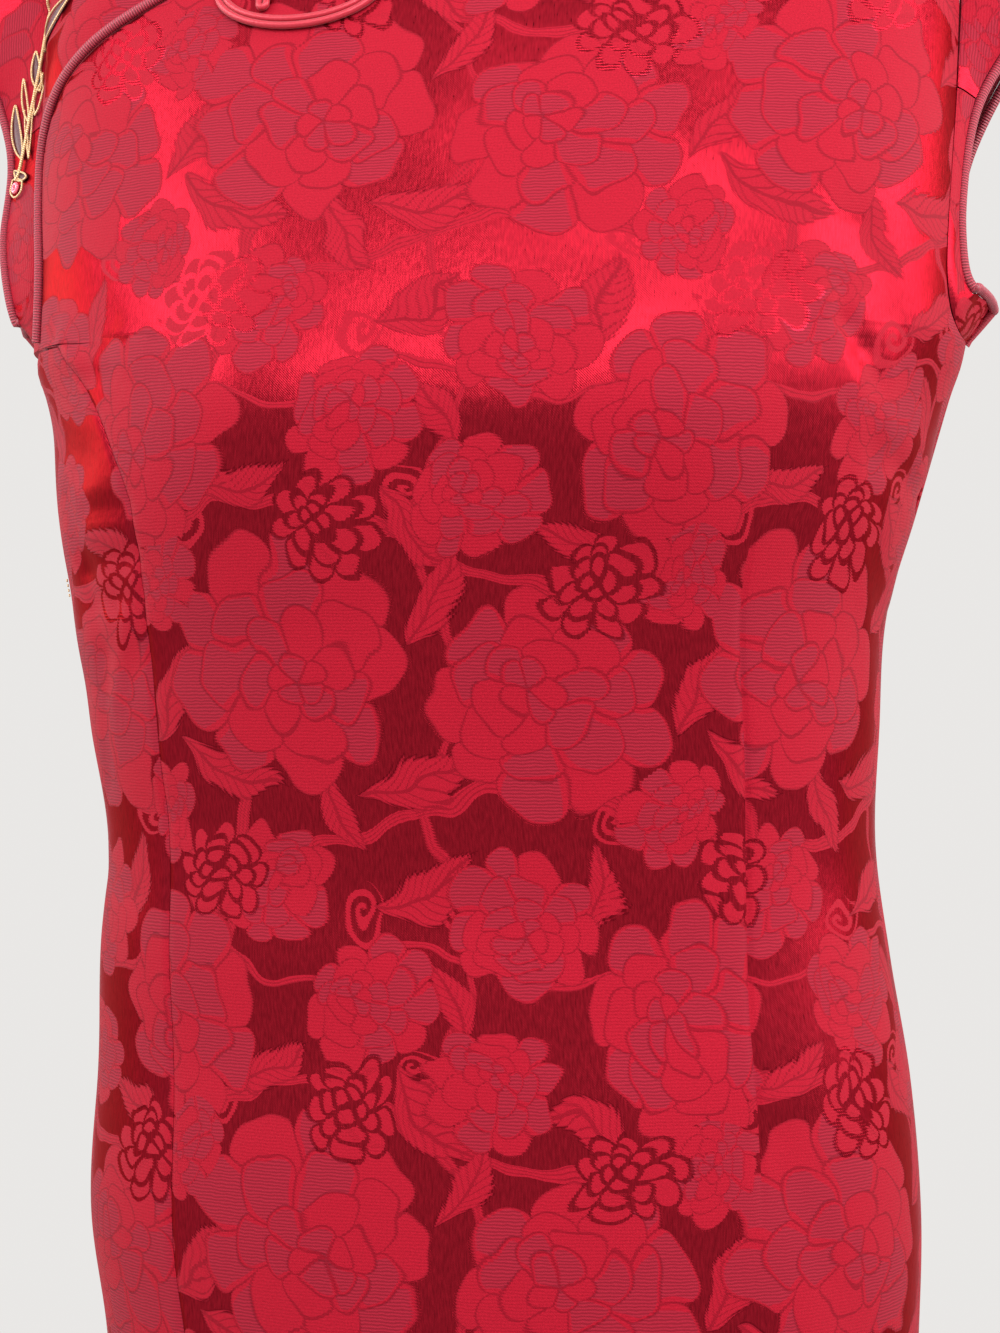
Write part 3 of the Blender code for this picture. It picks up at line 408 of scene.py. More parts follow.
def gridNormals(points, side):
    across = np.gradient(points, axis=1)
    along = np.gradient(points, axis=0)
    normal = np.cross(across, along)
    length = np.linalg.norm(normal, axis=2, keepdims=True)
    normal = normal / np.maximum(length, 1e-12)
    if side:        # a front faces forward and a back faces back, also where the grid is bunched
        facing = normal[..., 0] * points[..., 0] * 5.0 + normal[..., 1] * side + normal[..., 2] * 0.3
        normal = np.where(facing[..., None] < 0.0, -normal, normal)
    return normal


def makeShell(name, points, cloth, inset, outside, inside, side=0, thick=0.0009, jump=None):
    # a thin wall: rows run up the cloth, columns from right to left
    normals = gridNormals(points, side)
    outer = points - normals * inset[..., None]
    inner = outer - normals * thick
    tall, wide = points.shape[:2]
    verts = np.concatenate([outer.reshape(-1, 3), inner.reshape(-1, 3)])
    index = np.arange(tall * wide).reshape(tall, wide)
    a, b, c, d = (index[:-1, :-1], index[:-1, 1:], index[1:, 1:], index[1:, :-1])
    front = np.stack([a, b, c, d], -1).reshape(-1, 4)
    back = np.stack([a, d, c, b], -1).reshape(-1, 4) + tall * wide
    loop = np.concatenate([index[0, :], index[1:, -1], index[-1, -2::-1], index[-2:0:-1, 0]])
    after = np.roll(loop, -1)
    rim = np.stack([after, loop, loop + tall * wide, after + tall * wide], -1)
    faces = np.concatenate([front, back, rim])
    mesh = bpy.data.meshes.new(name)
    mesh.from_pydata(verts.tolist(), [], faces.tolist())
    flat = np.concatenate([cloth.reshape(-1, 2), cloth.reshape(-1, 2)])
    layer = mesh.uv_layers.new(name="cloth")
    coordinates = flat[faces.reshape(-1)].copy()
    if jump is not None:        # the cloth taken up by a dart is missing between its two sides
        column, widths = jump
        shift = np.tile(np.repeat(widths, wide), 2)[faces.reshape(-1)]
        cell = np.concatenate([np.tile(np.arange(wide - 1), tall - 1)] * 2 + [np.zeros(len(rim), int)])
        beyond = np.repeat(cell >= column, 4)
        coordinates[:, 0] += np.where(beyond, shift, 0.0)
    layer.data.foreach_set("uv", coordinates.reshape(-1))
    mesh.materials.append(outside)
    mesh.materials.append(inside)
    slots = np.zeros(len(faces), int)
    slots[len(front):len(front) + len(back)] = 1
    mesh.polygons.foreach_set("material_index", slots)
    mesh.polygons.foreach_set("use_smooth", np.ones(len(faces), bool))
    mesh.update()
    mesh.set_sharp_from_angle(angle=math.radians(60))
    piece = bpy.data.objects.new(name, mesh)
    bpy.context.collection.objects.link(piece)
    return piece


def crowded(count, ends, width):
    # shares from 0 to 1, with a few more close to each end
    inner = np.linspace(0.0, 1.0, count)
    near = np.array(ends) / width
    return np.unique(np.round(np.concatenate([near, inner[1:-1], 1.0 - near, [0.0, 1.0]]), 6))


# cloths and threads
def toLinear(code):
    values = [int(code[k:k + 2], 16) / 255 for k in (1, 3, 5)]
    return tuple(v / 12.92 if v <= 0.04045 else ((v + 0.055) / 1.055) ** 2.4 for v in values) + (1.0,)


def add(tree, kind, values=(), out=0, **settings):
    node = tree.nodes.new("ShaderNode" + kind)
    for key, value in settings.items():
        setattr(node, key, value)
    for key, value in (values.items() if isinstance(values, dict) else enumerate(values)):
        if isinstance(value, bpy.types.NodeSocket):
            tree.links.new(value, node.inputs[key])
        else:
            node.inputs[key].default_value = value
    return node.outputs[out]


# places in one repeat of the weave: x, y, half length, half width (mm), turn (degrees)
weave = {
    "tile": (206.0, 216.0),
    "warpWide": 26.0,         # size and reach of the drawing's unevenness, mm
    "warpReach": 7.5,
    "tooth": 1.15,            # pitch of the stepped motif edges
    "toothReach": 0.85,
    "line": 0.0115,           # half width of a petal's outline, as a share of the flower
    "ribPitch": 1.25,         # weft ribs in the paler petals; the real 0.8 mm ones wouldn't show
    "twillPitch": 0.95,
    "veins": 4.6,             # a leaf's side veins in half its length, their slant, and its saw edge
    "veinSlant": -2.2,
    "saw": 0.22,
    "strandPitch": 1.5,       # the strands of a stem, mm
    "flowers": [
        (46.0, 52.0, 46.0, 42.0, 20.0), (150.0, 70.0, 48.0, 49.0, 200.0), (92.0, 152.0, 45.0, 39.0, 95.0),
        (178.0, 158.0, 28.0, 25.0, 40.0), (18.0, 128.0, 26.0, 23.0, 10.0), (98.0, 99.0, 21.0, 18.0, 70.0),
        (30.0, 188.0, 30.0, 26.0, 150.0), (140.0, 200.0, 24.0, 26.0, 300.0), (88.0, 12.0, 21.0, 19.0, 250.0),
    ],
    "petals": [(1.0, 9, 0.2, 0.20), (0.74, 7, 1.1, 0.22), (0.50, 6, 0.4, 0.24), (0.27, 5, 0.9, 0.26)],
    "wires": [(66.0, 96.0, 21.0, 19.0, 12.0), (168.0, 118.0, 20.0, 20.0, -8.0),
              (118.0, 205.0, 22.0, 19.0, 5.0)],
    "wirePetals": [(1.0, 9, 0.5, 0.34), (0.70, 7, 1.2, 0.38), (0.40, 4, 0.2, 0.42)],
    "wireLine": 0.052,
    "leaves": [
        (122.0, 26.0, 24.0, 9.0, -24.0), (104.0, 56.0, 20.0, 7.5, 62.0), (58.0, 112.0, 21.0, 8.0, 152.0),
        (6.0, 92.0, 20.0, 8.0, 62.0), (198.0, 116.0, 19.0, 7.5, -48.0), (200.0, 24.0, 23.0, 9.0, 12.0),
        (60.0, 198.0, 20.0, 7.5, 74.0), (168.0, 14.0, 18.0, 7.0, -64.0), (136.0, 132.0, 19.0, 7.0, 18.0),
        (4.0, 160.0, 17.0, 6.5, 118.0), (112.0, 192.0, 19.0, 7.0, -20.0), (200.0, 198.0, 20.0, 7.5, 28.0),
    ],
    # stems: middle height or side, sway, waves in a repeat, phase, half width; upright or not
    "stems": [(8.0, 13.0, 1, 0.6, 2.5, False), (112.0, 16.0, 1, 3.4, 2.3, False),
              (118.0, 12.0, 1, 1.2, 2.4, True), (4.0, 9.0, 2, 4.0, 1.7, True),
              (172.0, 8.0, 2, 2.2, 1.5, False)],
    "scrolls": [(70.0, 10.0, 9.5, 9.5, 0.0), (176.0, 190.0, 9.0, 9.0, 90.0), (112.0, 118.0, 8.5, 8.5, 200.0),
                (6.0, 196.0, 9.0, 9.0, 40.0), (196.0, 132.0, 8.5, 8.5, 140.0)],
}


def nearestMotif(tree, place, motifs):
    best, nearness = None, None
    halfX, halfY = weave["tile"][0] / 2, weave["tile"][1] / 2
    for x, y, half, narrow, spin in motifs:
        near = add(tree, "VectorMath", [place, (x + halfX, y + halfY, 1.0), (x - halfX, y - halfY, -1.0)],
                   operation="WRAP")
        own = add(tree, "Mapping", [near, (x, y, 0.0), (0.0, 0.0, math.radians(spin)), (half, narrow, 1.0)],
                  vector_type="TEXTURE")
        far = add(tree, "VectorMath", [own], out=1, operation="LENGTH")
        if best is None:
            best, nearness = own, far
            continue
        closer = add(tree, "Math", [far, nearness], operation="LESS_THAN")
        best = add(tree, "Mix", {0: closer, 4: best, 5: own}, out=1, data_type="VECTOR")
        nearness = add(tree, "Math", [far, nearness], operation="MINIMUM")
    return best, nearness


def rosette(tree, place, rings, line):
    # rings of rounded petals, each a little off the last one's middle: area, outlines and paler petals
    edges = []
    for k, (radius, lobes, phase, depth) in enumerate(rings):
        own = add(tree, "VectorMath", [place, (0.03 * k, -0.075 * k, 0.0)], operation="ADD")
        far = add(tree, "VectorMath", [own], out=1, operation="LENGTH")
        parts = add(tree, "SeparateXYZ", [own]).node
        around = add(tree, "Math", [parts.outputs[1], parts.outputs[0]], operation="ARCTAN2")
        turned = add(tree, "Math", [around, lobes / 2, phase], operation="MULTIPLY_ADD")
        wave = add(tree, "Math", [add(tree, "Math", [turned], operation="COSINE")], operation="ABSOLUTE")
        bulge = add(tree, "Math", [wave, 0.55], operation="POWER")
        edge = add(tree, "Math", [bulge, radius * depth, radius * (1 - depth)], operation="MULTIPLY_ADD")
        apart = add(tree, "Math", [far, edge], operation="SUBTRACT")
        edges.append((apart, wave, turned, lobes, far))
    lines, ribs = 0.0, 0.0
    for k, (apart, wave, turned, lobes, far) in enumerate(edges):
        rim = add(tree, "Math", [apart, 0.0, line], operation="COMPARE")
        inside = add(tree, "Math", [apart, 0.0], operation="LESS_THAN")
        beyond = 1.0
        if k < len(edges) - 1:
            beyond = add(tree, "Math", [edges[k + 1][0], 0.0], operation="GREATER_THAN")
        band = add(tree, "Math", [inside, beyond], operation="MULTIPLY")
        between = add(tree, "Math", [add(tree, "Math", [wave, far], operation="MULTIPLY"), line * lobes / 2],
                      operation="LESS_THAN")
        drawn = add(tree, "Math", [between, band], operation="MULTIPLY")
        drawn = add(tree, "Math", [rim, drawn], operation="MAXIMUM")
        lines = add(tree, "Math", [lines, drawn], operation="MAXIMUM")
        # every second petal, or so, is ribbed a little way in from its edge
        petal = add(tree, "Math", [add(tree, "Math", [turned, 1 / math.pi, 0.5], operation="MULTIPLY_ADD")],
                    operation="FLOOR")
        petal = add(tree, "Math", [petal, float(lobes), 0.0], operation="WRAP")
        chosen = add(tree, "Math", [add(tree, "Math", [petal, 2.4, 1.3 * k], operation="MULTIPLY_ADD")],
                     operation="SINE")
        chosen = add(tree, "Math", [chosen, -0.1], operation="GREATER_THAN")
        inset = add(tree, "Math", [apart, -2.6 * line], operation="LESS_THAN")
        middle = add(tree, "Math", [wave, 0.34], operation="GREATER_THAN")
        chosen = add(tree, "Math", [chosen, inset], operation="MULTIPLY")
        middle = add(tree, "Math", [middle, band], operation="MULTIPLY")
        ribbed = add(tree, "Math", [chosen, middle], operation="MULTIPLY")
        ribs = add(tree, "Math", [ribs, ribbed], operation="MAXIMUM")
    area = add(tree, "Math", [edges[0][0], 0.0], operation="LESS_THAN")
    outerRim = add(tree, "Math", [edges[0][0], 0.0, line * 1.5], operation="COMPARE")
    return area, lines, ribs, outerRim


def weaveDamask(material, ground, motif, ribbedMotif, outline, shine):
    # silk damask: warp satin ground that shines, weft-faced flowers that don't, outlines that pucker
    tree = material.node_tree
    shader = tree.nodes["Principled BSDF"]
    flat = add(tree, "UVMap", uv_map="cloth")
    place = add(tree, "VectorMath", {0: flat, 3: 1000.0}, operation="SCALE")
    drift = add(tree, "TexNoise", {"Vector": place, "Scale": 1.0 / weave["warpWide"], "Detail": 1.0}, out=1,
                noise_dimensions="2D")
    drift = add(tree, "VectorMath", [drift, (0.5, 0.5, 0.5)], operation="SUBTRACT")
    bent = add(tree, "VectorMath", [drift, (weave["warpReach"] * 2, weave["warpReach"] * 2, 0.0), place],
               operation="MULTIPLY_ADD")
    xyz = add(tree, "SeparateXYZ", [place]).node
    step = add(tree, "Math", [xyz.outputs[1], 1.0 / weave["tooth"]], operation="MULTIPLY")
    step = add(tree, "Math", [step], operation="FRACT")
    step = add(tree, "Math", [step, weave["toothReach"]], operation="MULTIPLY")
    tooth = add(tree, "CombineXYZ", [step, 0.0, 0.0])
    drawn = add(tree, "VectorMath", [bent, tooth], operation="ADD")
    drawn = add(tree, "VectorMath", [drawn, (1.0, 1.0, 0.0)], operation="MULTIPLY")

    flower, _ = nearestMotif(tree, drawn, weave["flowers"])
    area, lines, ribs, outerRim = rosette(tree, flower, weave["petals"], weave["line"])
    wire, wireFar = nearestMotif(tree, drawn, weave["wires"])
    wireArea, wireLines, _, _ = rosette(tree, wire, weave["wirePetals"], weave["wireLine"])
    wireInside = add(tree, "Math", [wireFar, 1.04], operation="LESS_THAN")
    wireLines = add(tree, "Math", [wireLines, wireInside], operation="MULTIPLY")

    leaf, _ = nearestMotif(tree, drawn, weave["leaves"])
    along = add(tree, "SeparateXYZ", [leaf]).node
    square = add(tree, "Math", [along.outputs[0], along.outputs[0]], operation="MULTIPLY")
    bow = add(tree, "Math", [square, -0.55, along.outputs[1]], operation="MULTIPLY_ADD")
    side = add(tree, "Math", [bow], operation="ABSOLUTE")
    blade = add(tree, "Math", [square, -1.0, 1.0], operation="MULTIPLY_ADD")
    veinPlace = add(tree, "Math", [along.outputs[0], weave["veins"]], operation="MULTIPLY")
    veinPlace = add(tree, "Math", [side, weave["veinSlant"], veinPlace], operation="MULTIPLY_ADD")
    saw = add(tree, "Math", [veinPlace], operation="FRACT")
    saw = add(tree, "Math", [saw, weave["saw"], blade], operation="MULTIPLY_ADD")
    leafEdge = add(tree, "Math", [side, 0.12], operation="ADD")
    leafEdge = add(tree, "Math", [leafEdge, saw], operation="SUBTRACT")
    leafArea = add(tree, "Math", [leafEdge, 0.0], operation="LESS_THAN")
    vein = add(tree, "Math", [add(tree, "Math", [veinPlace], operation="FRACT"), 0.17], operation="LESS_THAN")
    midrib = add(tree, "Math", [side, 0.09], operation="LESS_THAN")
    rim = add(tree, "Math", [leafEdge, 0.0, 0.09], operation="COMPARE")
    leafLines = add(tree, "Math", [vein, midrib], operation="MAXIMUM")
    leafLines = add(tree, "Math", [leafLines, leafArea], operation="MULTIPLY")
    leafLines = add(tree, "Math", [leafLines, rim], operation="MAXIMUM")

    flatXyz = add(tree, "SeparateXYZ", [drawn]).node
    stemArea, stemLines = 0.0, 0.0
    for centre, sway, waves, phase, half, upright in weave["stems"]:
        run, rise = (1, 0) if upright else (0, 1)
        span, tall = weave["tile"][run], weave["tile"][rise]
        angle = add(tree, "Math", [flatXyz.outputs[run], 2 * math.pi * waves / span, phase],
                    operation="MULTIPLY_ADD")
        wave = add(tree, "Math", [add(tree, "Math", [angle], operation="SINE"), -sway, flatXyz.outputs[rise]],
                   operation="MULTIPLY_ADD")
        off = add(tree, "Math", [wave, centre + tall / 2, centre - tall / 2], operation="WRAP")
        off = add(tree, "Math", [off, centre], operation="SUBTRACT")
        broad = add(tree, "Math", [off, 0.0, half], operation="COMPARE")
        strand = add(tree, "Math", [off, 1.0 / weave["strandPitch"]], operation="MULTIPLY")
        strand = add(tree, "Math", [strand], operation="FRACT")
        strand = add(tree, "Math", [strand, 0.30], operation="LESS_THAN")
        strand = add(tree, "Math", [strand, broad], operation="MULTIPLY")
        stemArea = add(tree, "Math", [stemArea, broad], operation="MAXIMUM")
        stemLines = add(tree, "Math", [stemLines, strand], operation="MAXIMUM")

    scroll, scrollFar = nearestMotif(tree, drawn, weave["scrolls"])
    curl = add(tree, "SeparateXYZ", [scroll]).node
    winding = add(tree, "Math", [add(tree, "Math", [curl.outputs[1], curl.outputs[0]], operation="ARCTAN2"),
                                 -0.5 / (2 * math.pi), scrollFar], operation="MULTIPLY_ADD")
    winding = add(tree, "Math", [add(tree, "Math", [winding, 2.0], operation="MULTIPLY")], operation="FRACT")
    arm = add(tree, "Math", [winding, 0.48], operation="LESS_THAN")
    scrollArea = add(tree, "Math", [arm, add(tree, "Math", [scrollFar, 1.0], operation="LESS_THAN")],
                     operation="MULTIPLY")

    # what lies on top of what: wire flowers, flowers, leaves, scrolls and stems
    notFlower = add(tree, "Math", [1.0, area], operation="SUBTRACT")
    notLeaf = add(tree, "Math", [notFlower, add(tree, "Math", [1.0, leafArea], operation="SUBTRACT")],
                  operation="MULTIPLY")
    lines = add(tree, "Math", [lines, area], operation="MULTIPLY")
    leafLines = add(tree, "Math", [leafLines, notFlower], operation="MULTIPLY")
    stemLines = add(tree, "Math", [stemLines, notLeaf], operation="MULTIPLY")
    thin = add(tree, "Math", [add(tree, "Math", [lines, leafLines], operation="MAXIMUM"), stemLines],
               operation="MAXIMUM")
    woven = add(tree, "Math", [area, leafArea], operation="MAXIMUM")
    woven = add(tree, "Math", [woven, stemArea], operation="MAXIMUM")
    woven = add(tree, "Math", [woven, scrollArea], operation="MAXIMUM")
    clear = add(tree, "Math", [1.0, wireArea], operation="SUBTRACT")
    woven = add(tree, "Math", [woven, wireArea], operation="MAXIMUM")
    woven = add(tree, "Math", [woven, wireLines], operation="SUBTRACT", use_clamp=True)
    thin = add(tree, "Math", [thin, clear], operation="MULTIPLY")
    ribsShown = add(tree, "Math", [ribs, clear], operation="MULTIPLY")

    # threads: weft ribs across the paler petals, a fine twill elsewhere, a slanting grain in the satin
    uneven = add(tree, "TexNoise", {"Vector": place, "Scale": 0.23, "Detail": 2.0}, noise_dimensions="2D")
    ribWave = add(tree, "Math", [uneven, 5.0], operation="MULTIPLY")
    ribWave = add(tree, "Math", [xyz.outputs[1], 2 * math.pi / weave["ribPitch"], ribWave],
                  operation="MULTIPLY_ADD")
    ribWave = add(tree, "Math", [ribWave], operation="SINE")
    ribWave = add(tree, "Math", [ribWave, 0.5, 0.5], operation="MULTIPLY_ADD")
    slant = add(tree, "Math", [xyz.outputs[0], xyz.outputs[1]], operation="ADD")
    twill = add(tree, "Math", [slant, 2 * math.pi / weave["twillPitch"]], operation="MULTIPLY")
    twill = add(tree, "Math", [twill], operation="SINE")
    stipple = add(tree, "TexNoise", {"Vector": place, "Scale": 1.5, "Detail": 1.0}, noise_dimensions="2D")
    slub = add(tree, "Mapping", [place, (0.0, 0.0, 0.0), (0.0, 0.0, math.radians(62.0)), (1.4, 0.22, 1.0)])
    grain = add(tree, "TexNoise", {"Vector": slub, "Scale": 1.0, "Detail": 2.0}, noise_dimensions="2D")

    shade = add(tree, "Math", [ribWave, 0.42, 0.66], operation="MULTIPLY_ADD")
    ribColour = add(tree, "VectorMath", {0: ribbedMotif[:3], 3: shade}, operation="SCALE")
    shade = add(tree, "Math", [stipple, 0.50, 0.75], operation="MULTIPLY_ADD")
    motifColour = add(tree, "VectorMath", {0: motif[:3], 3: shade}, operation="SCALE")
    shade = add(tree, "Math", [grain, 0.9, 0.55], operation="MULTIPLY_ADD")
    groundColour = add(tree, "VectorMath", {0: ground[:3], 3: shade}, operation="SCALE")
    colour = add(tree, "Mix", {0: woven, 6: groundColour, 7: motifColour}, out=2, data_type="RGBA")
    colour = add(tree, "Mix", {0: ribsShown, 6: colour, 7: ribColour}, out=2, data_type="RGBA")
    faint = add(tree, "Math", [thin, 0.38], operation="MULTIPLY")
    colour = add(tree, "Mix", {0: faint, 6: colour, 7: outline}, out=2, data_type="RGBA")
    tree.links.new(colour, shader.inputs["Base Color"])

    dull = add(tree, "Math", [woven, -shine, shine], operation="MULTIPLY_ADD")
    tree.links.new(dull, shader.inputs["Metallic"])
    rough = add(tree, "Math", [woven, 0.38, add(tree, "Math", [grain, 0.10, 0.25], operation="MULTIPLY_ADD")],
                operation="MULTIPLY_ADD")
    tree.links.new(rough, shader.inputs["Roughness"])

    # relief in mm: flowers stand a little proud, outlines draw in, and the satin cockles between them
    relief = add(tree, "Math", [area, 0.10, add(tree, "Math", [outerRim, -0.16], operation="MULTIPLY")],
                 operation="MULTIPLY_ADD")
    relief = add(tree, "Math", [add(tree, "Math", [ribWave, area], operation="MULTIPLY"), 0.06, relief],
                 operation="MULTIPLY_ADD")
    relief = add(tree, "Math", [add(tree, "Math", [twill, stipple], operation="MULTIPLY"), 0.022, relief],
                 operation="MULTIPLY_ADD")
    relief = add(tree, "Math", [uneven, 0.09, relief], operation="MULTIPLY_ADD")
    relief = add(tree, "Math", [grain, 0.030, relief], operation="MULTIPLY_ADD")
    bump = add(tree, "Bump", {"Strength": 1.0, "Distance": 0.001, "Height": relief})
    tree.links.new(bump, shader.inputs["Normal"])
    shader.inputs["Specular Tint"].default_value = toLinear("#ff6a7c")
    shader.inputs["IOR"].default_value = 1.36


silk = {name: bpy.data.materials.new(name) for name in (
    "silkDamaskFace", "silkDamaskReverse", "ribbedCordWrap", "satinTube", "goldLurexThread",
    "darkSatinStitch", "glassBead")}
for material in silk.values():
    material.use_nodes = True
# bright warp satin that mirrors soft light, with dull twill flowers woven across it
weaveDamask(silk["silkDamaskFace"], ground=toLinear("#7f121f"), motif=toLinear("#901122"),
            ribbedMotif=toLinear("#8a1b2b"), outline=toLinear("#3a0008"), shine=0.85)
# the wrong side of the same weave: the satin's floats lie on the other face, so it is dull and even
reverse = silk["silkDamaskReverse"].node_tree
flat = add(reverse, "VectorMath", {0: add(reverse, "UVMap", uv_map="cloth"), 3: 1000.0}, operation="SCALE")
spots = add(reverse, "TexNoise", {"Vector": flat, "Scale": 0.035, "Detail": 2.0}, noise_dimensions="2D")
ribs = add(reverse, "TexWave", {"Vector": flat, "Scale": 0.30, "Distortion": 0.6, "Detail": 1.0},
           out=1, bands_direction="Y")
colour = add(reverse, "Mix", {0: spots, 6: toLinear("#740c1c"), 7: toLinear("#9c2034")}, out=2,
             data_type="RGBA")
reverse.links.new(colour, reverse.nodes["Principled BSDF"].inputs["Base Color"])
reverse.links.new(add(reverse, "Bump", {"Strength": 0.5, "Distance": 0.0001, "Height": ribs}),
                  reverse.nodes["Principled BSDF"].inputs["Normal"])
reverse.nodes["Principled BSDF"].inputs["Roughness"].default_value = 0.72
print("damask woven:", len(silk["silkDamaskFace"].node_tree.nodes), "nodes")

# gimp cord: floss silk wound closely round a cotton core, so it shows fine cross ribs, with painted shade in
# the grooves between the turns
cord = silk["ribbedCordWrap"].node_tree
flat = add(cord, "SeparateXYZ", [add(cord, "UVMap", uv_map="cloth")]).node
wound = add(cord, "Math", [flat.outputs[0], 2 * math.pi,
                           add(cord, "Math", [flat.outputs[1], 2 * math.pi / 0.00110], operation="MULTIPLY")],
            operation="MULTIPLY_ADD")
wound = add(cord, "Math", [add(cord, "Math", [wound], operation="SINE"), 0.5, 0.5], operation="MULTIPLY_ADD")
fuzz = add(cord, "TexNoise", {"Vector": add(cord, "TexCoord", out=3), "Scale": 700.0, "Detail": 2.0})
# painted shade: the colour runs from #b02a41 on each turn to #560815 in the grooves between turns, with a
# little random fuzz
tone = add(cord, "Math", [fuzz, 0.35], operation="MULTIPLY")
tone = add(cord, "Math", [wound, 0.65, tone], operation="MULTIPLY_ADD")
colour = add(cord, "Mix", {0: tone, 6: toLinear("#560815"), 7: toLinear("#b02a41")}, out=2, data_type="RGBA")
shader = cord.nodes["Principled BSDF"]
cord.links.new(colour, shader.inputs["Base Color"])
bump = add(cord, "Bump", {"Strength": 1.0, "Distance": 0.00030, "Height": wound})
cord.links.new(bump, shader.inputs["Normal"])
shader.inputs["Roughness"].default_value = 0.48
shader.inputs["Sheen Weight"].default_value = 0.06
shader.inputs["Sheen Tint"].default_value = toLinear("#ff9fb0")

# bias satin tube: smooth and glossy, with the satin's fine lengthwise floats
tubes = silk["satinTube"].node_tree
flat = add(tubes, "Mapping", [add(tubes, "UVMap", uv_map="cloth"), (0.0, 0.0, 0.0), (0.0, 0.0, 0.0),
                              (34.0, 900.0, 1.0)])
floats = add(tubes, "TexNoise", {"Vector": flat, "Scale": 1.0, "Detail": 2.0}, noise_dimensions="2D")
colour = add(tubes, "Mix", {0: floats, 6: toLinear("#930a1e"), 7: toLinear("#bd2239")}, out=2, data_type="RGBA")
shader = tubes.nodes["Principled BSDF"]
tubes.links.new(colour, shader.inputs["Base Color"])
bump = add(tubes, "Bump", {"Strength": 0.5, "Distance": 0.00012, "Height": floats})
tubes.links.new(bump, shader.inputs["Normal"])
rough = add(tubes, "Math", [floats, 0.12, 0.30], operation="MULTIPLY_ADD")
tubes.links.new(rough, shader.inputs["Roughness"])
shader.inputs["Metallic"].default_value = 0.25
shader.inputs["Sheen Weight"].default_value = 0.15

# flat metal foil wound on a core: warm gold that glints at each turn
gold = silk["goldLurexThread"].node_tree
flat = add(gold, "SeparateXYZ", [add(gold, "UVMap", uv_map="cloth")]).node
wound = add(gold, "Math", [flat.outputs[0], 2 * math.pi,
                           add(gold, "Math", [flat.outputs[1], 2 * math.pi / 0.0009], operation="MULTIPLY")],
            operation="MULTIPLY_ADD")
wound = add(gold, "Math", [add(gold, "Math", [wound], operation="SINE"), 0.5, 0.5], operation="MULTIPLY_ADD")
glint = add(gold, "TexNoise", {"Vector": add(gold, "TexCoord", out=3), "Scale": 1500.0, "Detail": 1.0})
tone = add(gold, "Math", [wound, glint], operation="MULTIPLY")
colour = add(gold, "Mix", {0: tone, 6: toLinear("#b98a52"), 7: toLinear("#fff0cf")}, out=2, data_type="RGBA")
shader = gold.nodes["Principled BSDF"]
gold.links.new(colour, shader.inputs["Base Color"])
bump = add(gold, "Bump", {"Strength": 0.9, "Distance": 0.00018, "Height": wound})
gold.links.new(bump, shader.inputs["Normal"])
shader.inputs["Metallic"].default_value = 0.55
shader.inputs["Roughness"].default_value = 0.38

# satin stitch: floss laid side by side, almost black wine red
floss = silk["darkSatinStitch"].node_tree
flat = add(floss, "Mapping", [add(floss, "UVMap", uv_map="cloth"), (0.0, 0.0, 0.0), (0.0, 0.0, 0.0),
                              (2600.0, 260.0, 1.0)])
laid = add(floss, "TexNoise", {"Vector": flat, "Scale": 1.0, "Detail": 2.0}, noise_dimensions="2D")
colour = add(floss, "Mix", {0: laid, 6: toLinear("#1c0409"), 7: toLinear("#5d1222")}, out=2, data_type="RGBA")
shader = floss.nodes["Principled BSDF"]
floss.links.new(colour, shader.inputs["Base Color"])
bump = add(floss, "Bump", {"Strength": 0.8, "Distance": 0.00020, "Height": laid})
floss.links.new(bump, shader.inputs["Normal"])
shader.inputs["Roughness"].default_value = 0.42

# pressed glass ring bead, rosy, with a foil-lined hole
bead = silk["glassBead"].node_tree
glow = add(bead, "TexNoise", {"Vector": add(bead, "TexCoord", out=3), "Scale": 900.0})
colour = add(bead, "Mix", {0: glow, 6: toLinear("#e0405c"), 7: toLinear("#ff8296")}, out=2, data_type="RGBA")
shader = bead.nodes["Principled BSDF"]
bead.links.new(colour, shader.inputs["Base Color"])
shader.inputs["Roughness"].default_value = 0.12
shader.inputs["Coat Weight"].default_value = 0.6


# front, back and side panels
panels = {
    "bodyRows": 226,
    "chestRows": 70,
    "frontColumns": (94, 46),
    "sideColumns": 26,
    "underColumns": 48,
    "backColumns": 126,
    "nearEdge": (0.0011, 0.0026),      # extra columns close to a seam
    "seamRoll": 0.0007,                # how far an edge turns in at its seam
    "dartTop": -0.305,
    "dartFoot": -0.570,
    "dartTaken": 0.017,
    "dartGroove": 0.0011,
}
dartLine = np.array([(-1.02, 42.0), (-0.60, 38.2), (-0.56, 38.5), (-0.50, 39.3), (-0.43, 42.0),
                     (-0.37, 41.0), (-0.31, 39.5), (-0.238, 38.0)])


def levels():
    z = np.linspace(form["hem"], form["seamTop"], panels["bodyRows"])
    return np.concatenate([z, [form["underarm"]]])


def chestFractions():
    s = np.linspace(0.0, 1.0, panels["chestRows"] + 1)[1:]
    return 1.0 - (1.0 - s) ** 1.5


def bodyGrid(zs, leftOf, rightOf, shares):
    points, cloth = [], []
    for z in zs:
        degrees = leftOf(z) + (rightOf(z) - leftOf(z)) * shares(z)
        points.append(bodyRow(degrees, z))
        cloth.append(np.stack([clothAcross(degrees, z), np.full(len(degrees), z)], -1))
    return np.array(points), np.array(cloth)


def chestGrid(side, firstRow, leftEdge, rightEdge):
    xs = firstRow[:, 0]
    shares = (xs - xs[0]) / (xs[-1] - xs[0])
    points, cloth = [], []
    for f in chestFractions():
        (xl, tl), (xr, tr) = leftEdge(f), rightEdge(f)
        x, t = xl + (xr - xl) * shares, tl + (tr - tl) * shares
        points.append(chestRow(side, x, t))
        cloth.append(clothOnChest(side, x, t))
    return np.array(points), np.array(cloth)


fineHeights = np.linspace(form["hem"] - 0.01, form["underarm"], 1200)
fineSections = np.array([[lookUp(sections, z, k) for z in fineHeights] for k in (1, 2, 3, 4)])


